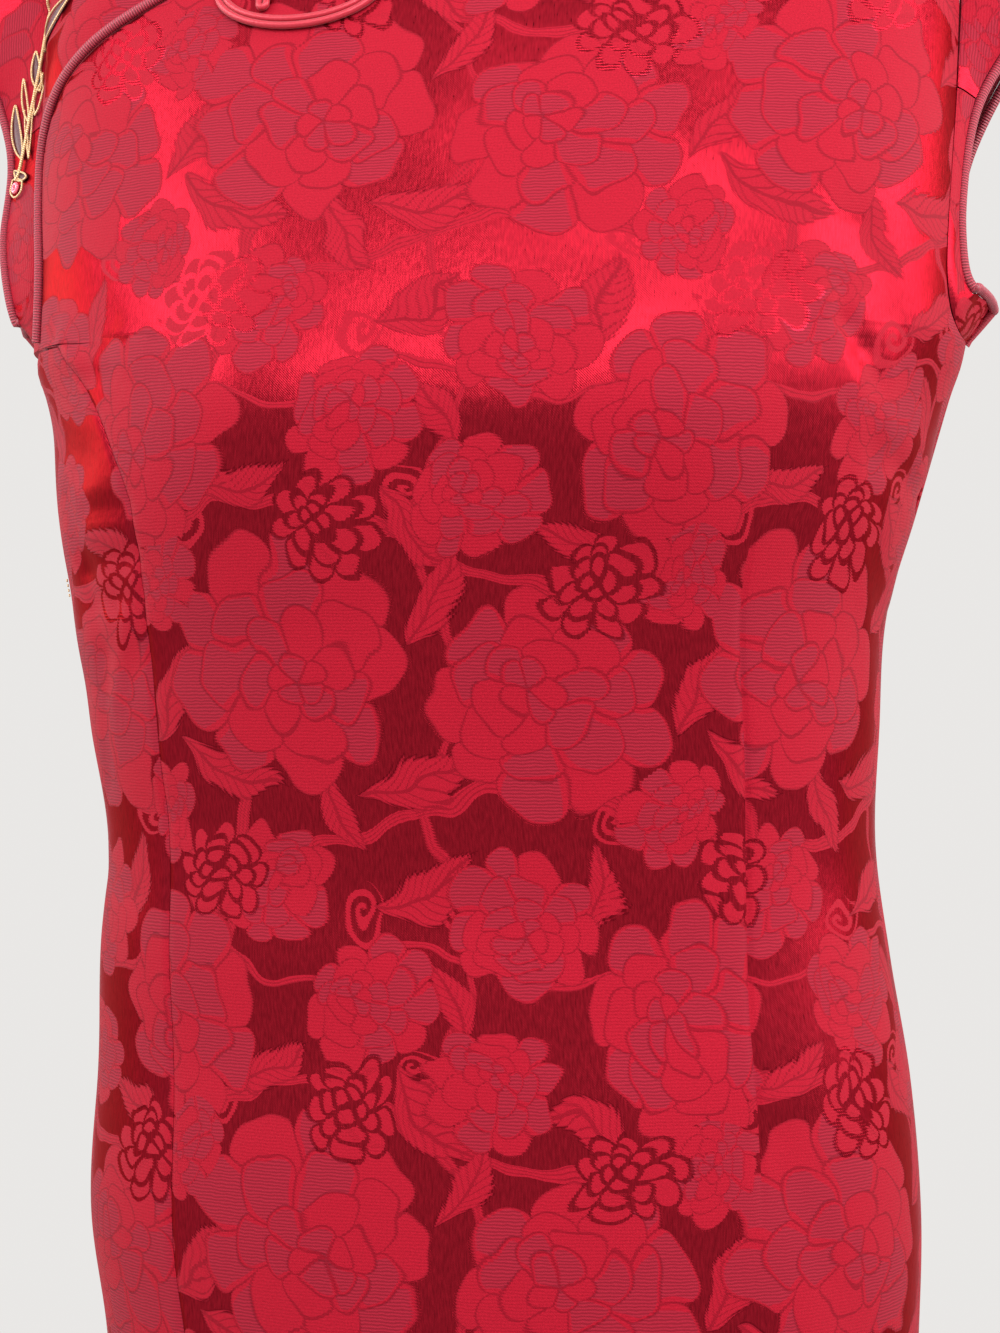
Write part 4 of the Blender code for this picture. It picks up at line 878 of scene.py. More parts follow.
def depthAt(side, x, z):
    # how far the cloth's face stands from the middle at any place of the front or back view
    low = np.minimum(z, form["underarm"])
    halfWidth, front, back, sway = (np.interp(low, fineHeights, row) for row in fineSections)
    power = form["frontPower"] if side < 0 else form["backPower"]
    inside = np.maximum(1.0 - np.minimum(np.abs(x - sway) / halfWidth, 1.0) ** power, 0.0)
    body = (front if side < 0 else back) * inside ** (1 / power)
    body = body - foldDepth(frontFolds if side < 0 else backFolds, x, low)
    if side < 0:
        body = body + bustRise(x, low)
    t = (z - form["underarm"]) / (-form["shoulderSlope"] * (np.abs(x) - form["neckHalf"]) - form["underarm"])
    chest = chestRow(side, x, np.clip(t, 0.0, 0.999))[..., 1] * side
    return np.where(z < form["underarm"], body, chest)


def easeUnderarm(side, points):
    # the chest and the lower body meet without a ledge
    x, z = points[..., 0], points[..., 2]
    weight = np.exp(-((z - form["underarm"]) / 0.024) ** 2) * np.clip((0.176 - np.abs(x)) / 0.035, 0.0, 1.0)
    steps = np.linspace(-2.0, 2.0, 17)
    kernel = np.exp(-steps**2)
    mean = sum(depthAt(side, x, z + s * 0.014) * k for s, k in zip(steps, kernel)) / kernel.sum()
    points[..., 1] += side * (mean - depthAt(side, x, z)) * weight
    return points


def edgeRoll(points, sides):
    # distance of each point from the piece's own seam edges, as a turn inwards
    tall, wide = points.shape[:2]
    inset = np.zeros((tall, wide))
    for side in sides:
        edge = points[:, 0] if side == "right" else points[:, -1]
        away = np.linalg.norm(points - edge[:, None], axis=2)
        inset += panels["seamRoll"] * np.exp(-(away / 0.0014) ** 2)
    return inset


def frontShares(z):
    left = seamAngle(z, 0.0) if z <= form["seamTop"] else openingFoot[-1][1]
    dart = (lookUp(dartLine, z, 1) - left) / (sideLimit(z, 1, True) - left)
    before = crowded(panels["frontColumns"][0], panels["nearEdge"] + (0.0,), 0.26) * dart
    after = dart + crowded(panels["frontColumns"][1], panels["nearEdge"] + (0.0,), 0.14) * (1.0 - dart)
    return np.concatenate([before, after[1:]])


dartColumn = len(crowded(panels["frontColumns"][0], panels["nearEdge"] + (0.0,), 0.26)) - 1


def frontLeft(z):
    return seamAngle(z, form["seamGap"] / 2) if z <= form["seamTop"] else float(openingFoot[-1][1])


def armEdge(name, sign):
    def at(f):
        x, t = smoothPath(armholes[name], f)
        return sign * x, t
    return at


points, cloth = bodyGrid(levels(), frontLeft, lambda z: sideLimit(z, 1, True), frontShares)
upper, upperCloth = chestGrid(-1, points[-1], openingEdge, armEdge("frontLeft", 1))
points = easeUnderarm(-1, np.concatenate([points, upper]))
cloth = np.concatenate([cloth, upperCloth])
height = points[:, dartColumn, 2]
middle = (panels["dartTop"] + panels["dartFoot"]) / 2
half = (panels["dartTop"] - panels["dartFoot"]) / 2
taken = np.clip(1.0 - np.abs((height - middle) / half) ** 1.6, 0.0, 1.0)
inset = edgeRoll(points, ("right", "left"))
away = np.linalg.norm(points - points[:, dartColumn][:, None], axis=2)
inset += panels["dartGroove"] * np.exp(-(away / 0.0016) ** 2) * np.sqrt(taken)[:, None]
inset += foldDepth(frontCreases, points[..., 0], points[..., 2])
frontMain = makeShell(
    "front_main_cloth", points, cloth, inset, silk["silkDamaskFace"], silk["silkDamaskReverse"], side=-1,
    jump=(dartColumn, taken * panels["dartTaken"]))
print("front:", len(frontMain.data.polygons), "faces")


def sideLeft(z):
    if z < form["openingEnd"]:
        return sideLimit(z, -1, True)
    return lookUp(openingFoot, z, 1) - 0.3


points, cloth = bodyGrid(levels()[:-1], sideLeft, lambda z: seamAngle(z, -form["seamGap"] / 2),
                         lambda z: crowded(panels["sideColumns"], panels["nearEdge"], 0.10))
points = easeUnderarm(-1, points)
cloth[..., 0] -= 0.013        # the side panel's weave doesn't meet the front's
inset = edgeRoll(points, ("right", "left")) + foldDepth(frontCreases, points[..., 0], points[..., 2])
frontSide = makeShell(
    "front_side_right_cloth", points, cloth, inset,
    silk["silkDamaskFace"], silk["silkDamaskReverse"], side=-1)


def underInset(points):
    # how far the under front lies below the overlap front, easing off beyond its edge
    edge = np.array([smoothPath(curvedOpening, k / 80) for k in range(81)])
    path = np.array([chestRow(-1, [x], [t])[0] for x, t in edge])
    flat = points.reshape(-1, 3)
    nearest = np.linalg.norm(flat[:, None, :] - path[None, :, :], axis=2).min(axis=1)
    top = -form["shoulderSlope"] * (np.abs(flat[:, 0]) - form["neckHalf"])
    t = (flat[:, 2] - form["underarm"]) / (top - form["underarm"])
    under = (flat[:, 0] > np.interp(t, edge[:, 1], edge[:, 0])) | (t < 0.003)
    eased = form["underStep"] * np.clip((0.020 - nearest) / 0.014, 0.0, 1.0)
    return np.where(under, form["underStep"], eased).reshape(points.shape[:2])


foot = np.linspace(form["openingEnd"], form["underarm"], 8)
points, cloth = bodyGrid(foot, lambda z: sideLimit(z, -1, True), lambda z: -50.0,
                         lambda z: np.linspace(0.0, 1.0, panels["underColumns"] + 1))
upper, upperCloth = chestGrid(-1, points[-1], armEdge("frontRight", -1), underlapEdge)
points = easeUnderarm(-1, np.concatenate([points, upper]))
cloth = np.concatenate([cloth, upperCloth]) + np.array([0.031, 0.046])
frontUnder = makeShell(
    "front_under_cloth", points, cloth, underInset(points),
    silk["silkDamaskFace"], silk["silkDamaskReverse"], side=-1)

points, cloth = bodyGrid(levels(), lambda z: sideLimit(z, 1, False), lambda z: 360.0 - sideLimit(z, 1, False),
                         lambda z: crowded(panels["backColumns"], panels["nearEdge"], 0.42))
baseRow = points[-1][:, 0]
split = 1 / 3
upper, upperCloth = [], []
place = 1.0 - 2.0 * np.linspace(0.0, 1.0, points.shape[1])       # 1 on the left, -1 on the right
tops = []
for p in place:
    share = abs(p) / split if abs(p) < split else 1.0
    if abs(p) < split:
        x, t = neckPoint(1, 1 if p >= 0 else -1, neckAngle(share))
    else:
        beyond = (form["shoulderHalf"] - form["neckHalf"]) * (abs(p) - split) / (1 - split)
        x, t = math.copysign(form["neckHalf"] + beyond, p), 1.0
    tops.append((x, t))
tops = np.array(tops)
for f in chestFractions():
    xe, te = smoothPath(armholes["back"], f)
    plain = baseRow / baseRow[0] * xe
    x = plain + (tops[:, 0] * xe / form["shoulderHalf"] - plain) * f**2
    t = te * (1.0 + (tops[:, 1] - 1.0) * f**3)
    upper.append(chestRow(1, x, t))
    upperCloth.append(clothOnChest(1, x, t))
points = easeUnderarm(1, np.concatenate([points, np.array(upper)]))
cloth = np.concatenate([cloth, np.array(upperCloth)])
inset = edgeRoll(points, ("right", "left")) + foldDepth(backCreases, points[..., 0], points[..., 2])
back = makeShell(
    "back_cloth", points, cloth, inset,
    silk["silkDamaskFace"], silk["silkDamaskReverse"], side=1)
print("back:", len(back.data.polygons), "faces")


# cap sleeves and armhole bands
sleeves = {"across": 7, "perTurn": 288, "capFrom": 1 / 3, "capTo": 2 / 3, "droop": 1.5,
           "armSlope": 0.42, "seamGap": 0.0005, "endGap": 0.0006}


def loopPoint(sign, place):
    place %= 1.0
    if place <= 0.5:
        side, (x, t) = -1, smoothPath(armholes["frontLeft" if sign > 0 else "frontRight"], place * 2)
    else:
        side, (x, t) = 1, smoothPath(armholes["back"], (1.0 - place) * 2)
    if t < 0.002:
        point, below = (bodyRow([sign * 90.0], z)[0] for z in (form["underarm"], form["underarm"] - 0.001))
        near = bodyRow([sign * 91.0, sign * 89.0], form["underarm"])
        normal = np.cross(near[0] - near[1], point - below)
    elif t > 0.995:
        point, normal = chestRow(side, [sign * x], [t])[0], np.array([sign * 0.4, 0.0, 1.0])
    else:
        xs = min(abs(x), 0.187) * sign
        point = chestRow(side, [sign * x], [t])[0]
        pair = chestRow(side, [xs - 0.001, xs + 0.001], [t, t])
        rise = chestRow(side, [xs, xs], [max(t - 0.0015, 0.0), min(t + 0.0015, 0.998)])
        normal = np.cross(pair[1] - pair[0], rise[1] - rise[0])
    if normal @ np.array([sign, side * 0.3, 0.2]) < 0:
        normal = -normal
    return point, normal / np.linalg.norm(normal)


def unit(v):
    return v / max(np.linalg.norm(v), 1e-12)


def stripWays(sign, place):
    _, normal = loopPoint(sign, place)
    tangent = unit(loopPoint(sign, place + 0.012)[0] - loopPoint(sign, place - 0.012)[0])
    away = unit(np.cross(tangent, normal)) * sign
    flare = lookUp(strip, place % 1.0, 2) + (lookUp(strip, place % 1.0, 5) if sign < 0 else 0.0)
    away = unit(away + normal * flare)
    arm = unit(np.array([sign, 0.0, -sleeves["armSlope"]]))
    return tangent, unit(away + (arm - away) * lookUp(strip, place % 1.0, 4))


def stripFrames(sign):
    steps = sleeves["perTurn"]
    frames = []
    ways = [stripWays(sign, k / steps) for k in range(steps)]
    reach = 14
    for k in range(steps):
        tangent, outwards = np.zeros(3), np.zeros(3)
        for offset in range(-reach, reach + 1):
            weight = math.exp(-(offset / 7.0) ** 2)
            tangent += ways[(k + offset) % steps][0] * weight
            outwards += ways[(k + offset) % steps][1] * weight
        outwards = unit(outwards)
        frames.append((loopPoint(sign, k / steps)[0], outwards, unit(np.cross(outwards, tangent)) * sign))
    return frames


stripTables = {sign: stripFrames(sign) for sign in (1, -1)}


def stripAt(sign, place, share):
    steps = sleeves["perTurn"]
    spot = (place % 1.0) * steps
    k = int(spot) % steps
    s = spot - int(spot)
    a, b = stripTables[sign][k], stripTables[sign][(k + 1) % steps]
    point, outwards, face = (start + (end - start) * s for start, end in zip(a, b))
    outwards, face = unit(outwards), unit(face)
    width = lookUp(strip, place % 1.0, 1) + (lookUp(strip, place % 1.0, 3) if sign < 0 else 0.0)
    reach = sleeves["seamGap"] + width * share
    return point + outwards * reach - face * (sleeves["droop"] * reach * reach), face


def sleevePiece(name, sign, start, end, count):
    places = np.linspace(start, end, count + 1)
    places[0] += sleeves["endGap"]
    places[-1] -= sleeves["endGap"]
    if sign > 0:
        places = places[::-1]
    shares = [i / sleeves["across"] for i in range(sleeves["across"] + 1)]
    points = np.array([[stripAt(sign, p, share)[0] for p in places] for share in shares])
    length = np.concatenate([[0.0], np.cumsum(np.linalg.norm(np.diff(points[-1], axis=0), axis=1))])
    reach = np.linalg.norm(points - points[0][None], axis=2)
    cloth = np.stack([np.broadcast_to(length, reach.shape) + 0.07, reach + 0.12], -1)
    return makeShell(name, points, cloth, edgeRoll(points.transpose(1, 0, 2), ("right",)).T,
                     silk["silkDamaskFace"], silk["silkDamaskReverse"])


sleevePieces = {}
for sign, word in ((1, "left"), (-1, "right")):
    sleevePieces["cap_" + word] = sleevePiece(
        "cap_" + word + "_cloth", sign, sleeves["capFrom"], sleeves["capTo"], 60)
    sleevePieces["armhole_band_" + word] = sleevePiece(
        "armhole_band_" + word + "_cloth", sign, sleeves["capTo"] - 1.0, sleeves["capFrom"], 150)
print("sleeves done")


# stand collar
collar = {"height": 0.045, "lean": 0.005, "frontGap": 0.007, "corner": 0.018, "seat": 0.0004, "ease": 0.045,
          "thick": 0.0014, "rows": 10}
ring = [(-1, 1, neckAngle(k / 30)) for k in range(31)]
ring += [(1, 1, neckAngle(1 - k / 24)) for k in range(1, 25)]
ring += [(1, -1, neckAngle(k / 24)) for k in range(1, 25)]
ring += [(-1, -1, neckAngle(1 - k / 30)) for k in range(1, 31)]
neckLine = np.array([chestRow(side, [x], [t])[0] for side, (x, t) in
                     ((s, neckPoint(s, g, p)) for s, g, p in ring)])
neckLength = np.concatenate([[0.0], np.cumsum(np.linalg.norm(np.diff(neckLine, axis=0), axis=1))])
neckGirth = neckLength[-1]


def onNeck(s):
    return np.array([np.interp(s, neckLength, neckLine[:, k]) for k in range(3)])


def collarColumns():
    first = collar["frontGap"] / 2
    shares = 1 - np.cos(np.linspace(0, math.pi / 2, 12))
    ends = first + collar["corner"] * shares
    between = np.linspace(ends[-1], neckGirth - ends[-1], 90)[1:-1]
    places = np.concatenate([ends, between, (neckGirth - ends)[::-1]])
    columns = []
    for s in places:
        point = onNeck(s)
        tangent = onNeck(min(s + 0.012, neckGirth)) - onNeck(max(s - 0.012, 0.0))
        out = unit(np.array([tangent[1], -tangent[0], 0.0]))
        short = collar["corner"] - min(min(s, neckGirth - s) - first, collar["corner"])
        rounded = math.sqrt(max(collar["corner"] ** 2 - short**2, 0.0))
        reach = min(collar["ease"], s, neckGirth - s)
        level = np.mean([onNeck(s + reach * k / 6)[2] for k in range(-6, 7)]) - point[2]
        columns.append((point, out, collar["height"] - collar["corner"] + rounded + level, s))
    return columns


def collarFace(column, rise):
    point, out, _, _ = column
    seat = point - out * collar["seat"] + np.array([0.0, 0.0, collar["seat"] + rise])
    return seat - out * (collar["lean"] * rise / collar["height"])


neckColumns = collarColumns()
rises = [i / collar["rows"] for i in range(collar["rows"] + 1)]
points = np.array([[collarFace(c, c[2] * rise) for c in neckColumns] for rise in rises])
cloth = np.array([[(c[3] + 0.02, c[2] * rise + 0.05) for c in neckColumns] for rise in rises])
collarPiece = makeShell("collar_cloth", points, cloth, np.zeros(points.shape[:2]),
                        silk["silkDamaskFace"], silk["silkDamaskReverse"], thick=collar["thick"])
print("collar done")


# cords: a tube along points, with the way along it in its own map
def makeTube(name, points, radius, material, sides=12, closed=False, squeeze=1.0, ends=True):
    points = np.asarray(points, float)
    count = len(points)
    if closed:
        tangents = np.roll(points, -1, axis=0) - np.roll(points, 1, axis=0)
    else:
        tangents = np.gradient(points, axis=0)
    tangents /= np.linalg.norm(tangents, axis=1, keepdims=True)
    up = np.array([0.0, 0.0, 1.0]) if abs(tangents[0][2]) < 0.8 else np.array([0.0, -1.0, 0.0])
    across = unit(np.cross(tangents[0], up))
    frames = []
    for t in tangents:
        across = unit(across - t * (across @ t))
        frames.append((across, np.cross(t, across)))
    if closed:        # the twist left over is spread along the ring
        a, b = frames[-1]
        want = frames[0][0] - tangents[-1] * (frames[0][0] @ tangents[-1])
        turn = math.atan2(want @ b, want @ a)
        frames = [(f[0] * math.cos(turn * k / count) + f[1] * math.sin(turn * k / count),
                   f[1] * math.cos(turn * k / count) - f[0] * math.sin(turn * k / count))
                  for k, f in enumerate(frames)]
    length = np.concatenate([[0.0], np.cumsum(np.linalg.norm(np.diff(points, axis=0), axis=1))])
    radii = np.broadcast_to(np.asarray(radius, float), (count,))
    verts, faces, coordinates = [], [], []
    for k in range(count):
        a, b = frames[k]
        for j in range(sides):
            angle = 2 * math.pi * j / sides
            verts.append(points[k] + (a * math.cos(angle) + b * math.sin(angle) * squeeze) * radii[k])
    turns = count if closed else count - 1
    total = length[-1] + (np.linalg.norm(points[0] - points[-1]) if closed else 0.0)
    for k in range(turns):
        n = (k + 1) % count
        for j in range(sides):
            m = (j + 1) % sides
            faces.append((k * sides + j, k * sides + m, n * sides + m, n * sides + j))
            v0, v1 = length[k], (total if n == 0 else length[n])
            u0, u1 = j / sides, (j + 1) / sides
            coordinates += [(u0, v0), (u1, v0), (u1, v1), (u0, v1)]
    if not closed and ends:
        for k, flip in ((0, True), (count - 1, False)):
            order = [k * sides + j for j in range(sides)]
            faces.append(tuple(order[::-1] if flip else order))
            coordinates += [(0.5, length[k])] * sides
    mesh = bpy.data.meshes.new(name)
    mesh.from_pydata([tuple(v) for v in verts], [], faces)
    layer = mesh.uv_layers.new(name="cloth")
    layer.data.foreach_set("uv", np.array(coordinates, float).reshape(-1))
    mesh.materials.append(material)
    mesh.polygons.foreach_set("use_smooth", np.ones(len(faces), bool))
    mesh.update()
    piece = bpy.data.objects.new(name, mesh)
    bpy.context.collection.objects.link(piece)
    normals = bmesh.new()
    normals.from_mesh(mesh)
    bmesh.ops.recalc_face_normals(normals, faces=normals.faces)
    normals.to_mesh(mesh)
    normals.free()
    return piece


piping = {"radius": 0.0020, "edgeGap": 0.0006, "end": 0.92, "sleeveReach": 0.0023, "collarSink": 0.0007}


def chestPoint(x, z):
    t = chestShare(x, z)
    point = chestRow(-1, [x], [t])[0]
    pair = chestRow(-1, [x - 0.002, x + 0.002], [t, t])
    rise = chestRow(-1, [x, x], [max(t - 0.006, 0.0), min(t + 0.006, 0.998)])
    normal = unit(np.cross(pair[1] - pair[0], rise[1] - rise[0]))
    return point, (normal if normal[1] < 0 or normal[2] > 0 else -normal)


line = []
for k in range(6, 200):
    share = k / 200
    if share > piping["end"]:
        break
    x, t = smoothPath(curvedOpening, share)
    (xa, ta), (xb, tb) = smoothPath(curvedOpening, share - 0.01), smoothPath(curvedOpening, share + 0.01)
    here, before, after = chestRow(-1, [x, xa, xb], [t, ta, tb])
    _, normal = chestPoint(x, here[2])
    away = unit(np.cross(normal, after - before))
    line.append(here + away * (piping["edgeGap"] + piping["radius"]) + normal * 0.0003)
openingPiping = makeTube("opening_piping_cord", line, piping["radius"], silk["ribbedCordWrap"], sides=14)

sleevePiping = {}
for sign, word in ((1, "left"), (-1, "right")):
    steps = 144
    edge = [stripAt(sign, k / steps, 1.0) for k in range(steps)]
    line = []
    for k, (hem, face) in enumerate(edge):
        tangent = edge[(k + 2) % steps][0] - edge[k - 2][0]
        away = unit(np.cross(tangent, face)) * sign
        line.append(hem + away * piping["sleeveReach"] - face * 0.0004)
    line = np.array(line)
    for _ in range(2):
        line = (np.roll(line, 1, axis=0) + 2 * line + np.roll(line, -1, axis=0)) / 4
    sleevePiping[word] = makeTube("sleeve_piping_" + word + "_cord", line, piping["radius"],
                                  silk["ribbedCordWrap"], sides=14, closed=True)

line = []
for order, columns in ((1, neckColumns[0]), (-1, neckColumns[-1])):
    along = unit(columns[0] - (neckColumns[1] if order > 0 else neckColumns[-2])[0])
    along[2] = 0.0
    beside = unit(along) * (form["seamGap"] + piping["radius"]) - columns[1] * piping["collarSink"]
    side = [collarFace(columns, columns[2] * s) + beside for s in np.linspace(0.10, 0.97, 10)]
    if order > 0:
        line += side
        for k in range(2, len(neckColumns) - 2):
            before, after = (collarFace(neckColumns[k + d], neckColumns[k + d][2]) for d in (-1, 1))
            here = collarFace(neckColumns[k], neckColumns[k][2])
            away = unit(np.cross(neckColumns[k][1], after - before))
            line.append(here + away * (form["seamGap"] + piping["radius"])
                        - neckColumns[k][1] * piping["collarSink"])
    else:
        line += side[::-1]
collarPiping = makeTube("collar_piping_cord", line, piping["radius"], silk["ribbedCordWrap"], sides=14)
print("piping done")


# frogs of satin tube
frog = {"radius": 0.0014, "pitch": 0.0029, "x": -0.0640, "z": -0.1011, "half": 0.0353, "tall": 0.0188,
        "ringPitch": 0.0028, "lean": 0.60, "lift": 0.0017, "knot": 0.0045, "collarRise": 0.0100}


def ringLine(start, turned, steps):
    line = []
    for k in range(steps + 1):
        angle = math.radians(start + turned * k / steps)
        inward = frog["ringPitch"] * turned * k / steps / 360.0
        tall = (frog["tall"] - inward) * math.sin(angle)
        wide = (frog["half"] - inward) * math.cos(angle)
        point, normal = chestPoint(frog["x"] + wide + frog["lean"] * max(tall, 0.0), frog["z"] + tall)
        line.append(point + normal * frog["lift"])
    return line


def hairpin(start, end, gap, steps, onUnder=False):
    length = math.dist(start, end)
    ux, uz = (end[0] - start[0]) / length, (end[1] - start[1]) / length
    half = gap / 2
    places = [((length - half) * k / steps, half) for k in range(steps)]
    for k in range(9):
        angle = math.radians(90 - 22.5 * k)
        places.append((length - half + half * math.cos(angle), half * math.sin(angle)))
    places += [((length - half) * (1 - (k + 1) / steps), -half) for k in range(steps)]
    line = []
    for a, b in places:
        point, normal = chestPoint(start[0] + ux * a - uz * b, start[1] + uz * a + ux * b)
        drop = underInset(point[None, None, :])[0, 0] if onUnder else 0.0
        line.append(point + normal * (frog["lift"] - drop))
    return line


def ballKnot(name, centre, radius):
    # a ball button: one tube laid three times over and under itself
    line = []
    for k in range(180):
        t = 2 * math.pi * k / 180
        latitude = 0.95 * math.sin(3 * t)
        swell = radius * (0.70 + 0.07 * math.cos(6 * t))
        level = math.cos(latitude)
        line.append(centre + swell * np.array(
            [level * math.cos(2 * t), math.sin(latitude), level * math.sin(2 * t)]))
    return makeTube(name, line, radius * 0.30, silk["satinTube"], sides=10, closed=True)


stem = hairpin((frog["x"] - 0.0150, frog["z"] + 0.0068), (frog["x"] - 0.0150, frog["z"] - 0.0087),
               frog["pitch"], 12)
mate = hairpin((frog["x"] - 0.0040, frog["z"] + 0.0316), (frog["x"] - 0.0380, frog["z"] + 0.0531),
               frog["pitch"], 16, True)
frogs = {name: makeTube(name + "_tube", line, frog["radius"], silk["satinTube"]) for name, line in (
    ("frog_chest_ring", ringLine(95.0, 700.0, 220)), ("frog_chest_stem", stem), ("frog_chest_mate", mate))}
point, normal = chestPoint(frog["x"], frog["z"] + 0.0249)
frogs["frog_chest_knot"] = ballKnot("frog_chest_knot_ball", point + normal * 0.0070, frog["knot"])
for word, part in (("left", neckColumns[3:40]), ("right", neckColumns[-4:-41:-1])):
    chosen = [c for c in part if abs(c[3] - (0 if word == "left" else neckGirth)) < 0.045]
    low, high = ([collarFace(c, rise) + c[1] * frog["lift"] for c in chosen]
                 for rise in (frog["collarRise"], frog["collarRise"] + frog["pitch"]))
    turn = (low[-1] + high[-1]) / 2 + unit(low[-1] - low[-2]) * frog["pitch"] / 2
    name = "frog_collar_bar_" + word
    frogs[name] = makeTube(name + "_tube", low + [turn] + high[::-1], frog["radius"], silk["satinTube"])
middle = (neckColumns[0][0] + neckColumns[-1][0]) / 2
rise = frog["collarRise"] + frog["pitch"] / 2 + collar["seat"]
frogs["frog_collar_knot"] = ballKnot(
    "frog_collar_knot_ball", middle + np.array([0.0, -0.0046, rise]), frog["knot"])
print("frogs done")


# embroidery on the right under front: across and up as the camera sees it, metres, 0 in the picture's middle
embroidery = {
    "turn": 10.0,
    "gold": 0.00046,
    "goldStem": 0.00075,
    "lift": 0.0005,
    "bridge": 0.0012,
    "stem": [(-0.1815, -0.0603), (-0.1840, -0.0720), (-0.1865, -0.0863), (-0.1878, -0.0967), (-0.1890, -0.1072),
             (-0.1903, -0.1176), (-0.1915, -0.1260), (-0.1937, -0.1373), (-0.1960, -0.1490), (-0.1982, -0.1582),
             (-0.2000, -0.1612)],
    # foot, tip, half width, filled with dark floss
    "leaves": [
        ((-0.1882, -0.1072), (-0.1719, -0.0909), 0.0028, True),
        ((-0.1894, -0.1247), (-0.1920, -0.1063), 0.0021, True),
        ((-0.1976, -0.1523), (-0.2012, -0.1281), 0.0024, True),
        ((-0.1944, -0.1611), (-0.2012, -0.1566), 0.0019, True),
        ((-0.1945, -0.1369), (-0.1974, -0.1176), 0.0013, False),
        ((-0.1911, -0.1348), (-0.1869, -0.1176), 0.0015, False),
        ((-0.1857, -0.0779), (-0.1928, -0.0628), 0.0021, False),
        ((-0.1836, -0.0720), (-0.1706, -0.0587), 0.0025, True),
    ],
    "buds": [[(-0.1936, -0.1532), (-0.1957, -0.1431), (-0.1966, -0.1314)],
             [(-0.1936, -0.1532), (-0.1945, -0.1423), (-0.1945, -0.1306)],
             [(-0.1936, -0.1532), (-0.1928, -0.1431), (-0.1924, -0.1331)]],
    "bead": (-0.2000, -0.1645),
    "beadLoop": [(-0.2018, -0.1607), (-0.2028, -0.1655), (-0.2003, -0.1686),
                 (-0.1971, -0.1668), (-0.1966, -0.1625), (-0.1996, -0.1604)],
    "tacks": [-0.3297, -0.3318, -0.3338, -0.3359],        # gold tacking stitches on the right side seam
    "tackAcross": (-0.1775, -0.1752),
}
cast = math.radians(embroidery["turn"])
seenRight = np.array([math.cos(cast), math.sin(cast), 0.0])
seenAway = np.array([-math.sin(cast), math.cos(cast), 0.0])
shoulderCloths = [
    BVHTree.FromPolygons([v.co for v in piece.data.vertices], [p.vertices for p in piece.data.polygons])
    for piece in (frontUnder, sleevePieces["cap_right"], sleevePieces["armhole_band_right"], frontSide, back)]


def onCloth(u, z):
    # the first cloth met from the front at this place, bridging the fine seam gaps, or the nearest cloth
    start = Vector(seenRight * u - seenAway * 0.5 + np.array([0.0, 0.0, z]))
    reach = embroidery["bridge"]
    hits = [tree.ray_cast(start + Vector((0.0, 0.0, shift)), Vector(seenAway))
            for tree in shoulderCloths for shift in (-reach, 0.0, reach)]
    hits = [h for h in hits if h[0] is not None]
    if hits:
        _, normal, _, distance = min(hits, key=lambda h: h[3])
        point = start + Vector(seenAway) * distance
    else:
        beside = Vector(seenRight * u + np.array([0.0, 0.0, z]))
        point, normal, _, _ = min((tree.find_nearest(beside) for tree in shoulderCloths), key=lambda h: h[3])
    normal = np.array(normal)
    return np.array(point), (normal if normal @ seenAway < 0 else -normal)


def layThread(name, places, radius, material, closed=False, steps=8):
    # a couched thread: a smooth line through the places, resting on the cloth
    last = len(places) - 1
    if closed:
        places = places + places[:1]
        last += 1
    line = []
    for k in range(last * steps + (0 if closed else 1)):
        point, normal = onCloth(*smoothPath(places, k / (last * steps)))
        line.append(point + normal * (radius + embroidery["lift"]))
    line = np.array(line)
    for _ in range(2):
        line[1:-1] = (line[:-2] + 2 * line[1:-1] + line[2:]) / 4
    return makeTube(name, line, radius, material, sides=8, closed=closed)


def leafOutline(foot, tip, half, count):
    foot, tip = np.array(foot), np.array(tip)
    along = tip - foot
    across = np.array([-along[1], along[0]]) / np.linalg.norm(along)
    shares = np.linspace(0.0, 1.0, count)
    width = half * np.sin(np.pi * shares**0.8) ** 0.8
    bow = half * 0.5 * np.sin(np.pi * shares)
    return [(foot + along * s + across * (b + w), foot + along * s + across * (b - w))
            for s, w, b in zip(shares, width, bow)]


def fillLeaf(name, foot, tip, half):
    # padded satin stitch: a low dome of floss, laid across the leaf
    rows = leafOutline(foot, tip, half, 14)
    verts, faces, coordinates = [], [], []
    for left, right in rows:
        for j in range(7):
            share = j / 6
            place = left + (right - left) * share
            point, normal = onCloth(*place)
            verts.append(tuple(point + normal * (0.0003 + 0.0007 * math.sin(math.pi * share))))
    for i in range(len(rows) - 1):
        for j in range(6):
            faces.append((i * 7 + j, i * 7 + j + 1, i * 7 + j + 8, i * 7 + j + 7))
            for di, dj in ((0, 0), (0, 1), (1, 1), (1, 0)):
                coordinates.append(((i + di) * 0.0015, (j + dj) * 0.001))
    mesh = bpy.data.meshes.new(name)
    mesh.from_pydata(verts, [], faces)
    mesh.uv_layers.new(name="cloth").data.foreach_set("uv", np.array(coordinates).reshape(-1))
    mesh.materials.append(silk["darkSatinStitch"])
    mesh.polygons.foreach_set("use_smooth", np.ones(len(faces), bool))
    piece = bpy.data.objects.new(name, mesh)
    bpy.context.collection.objects.link(piece)
    return piece


def joined(name, pieces):
    bpy.ops.object.select_all(action="DESELECT")
    for piece in pieces:
        piece.select_set(True)
    bpy.context.view_layer.objects.active = pieces[0]
    bpy.ops.object.join()
    whole = bpy.context.view_layer.objects.active
    whole.name = name
    return whole


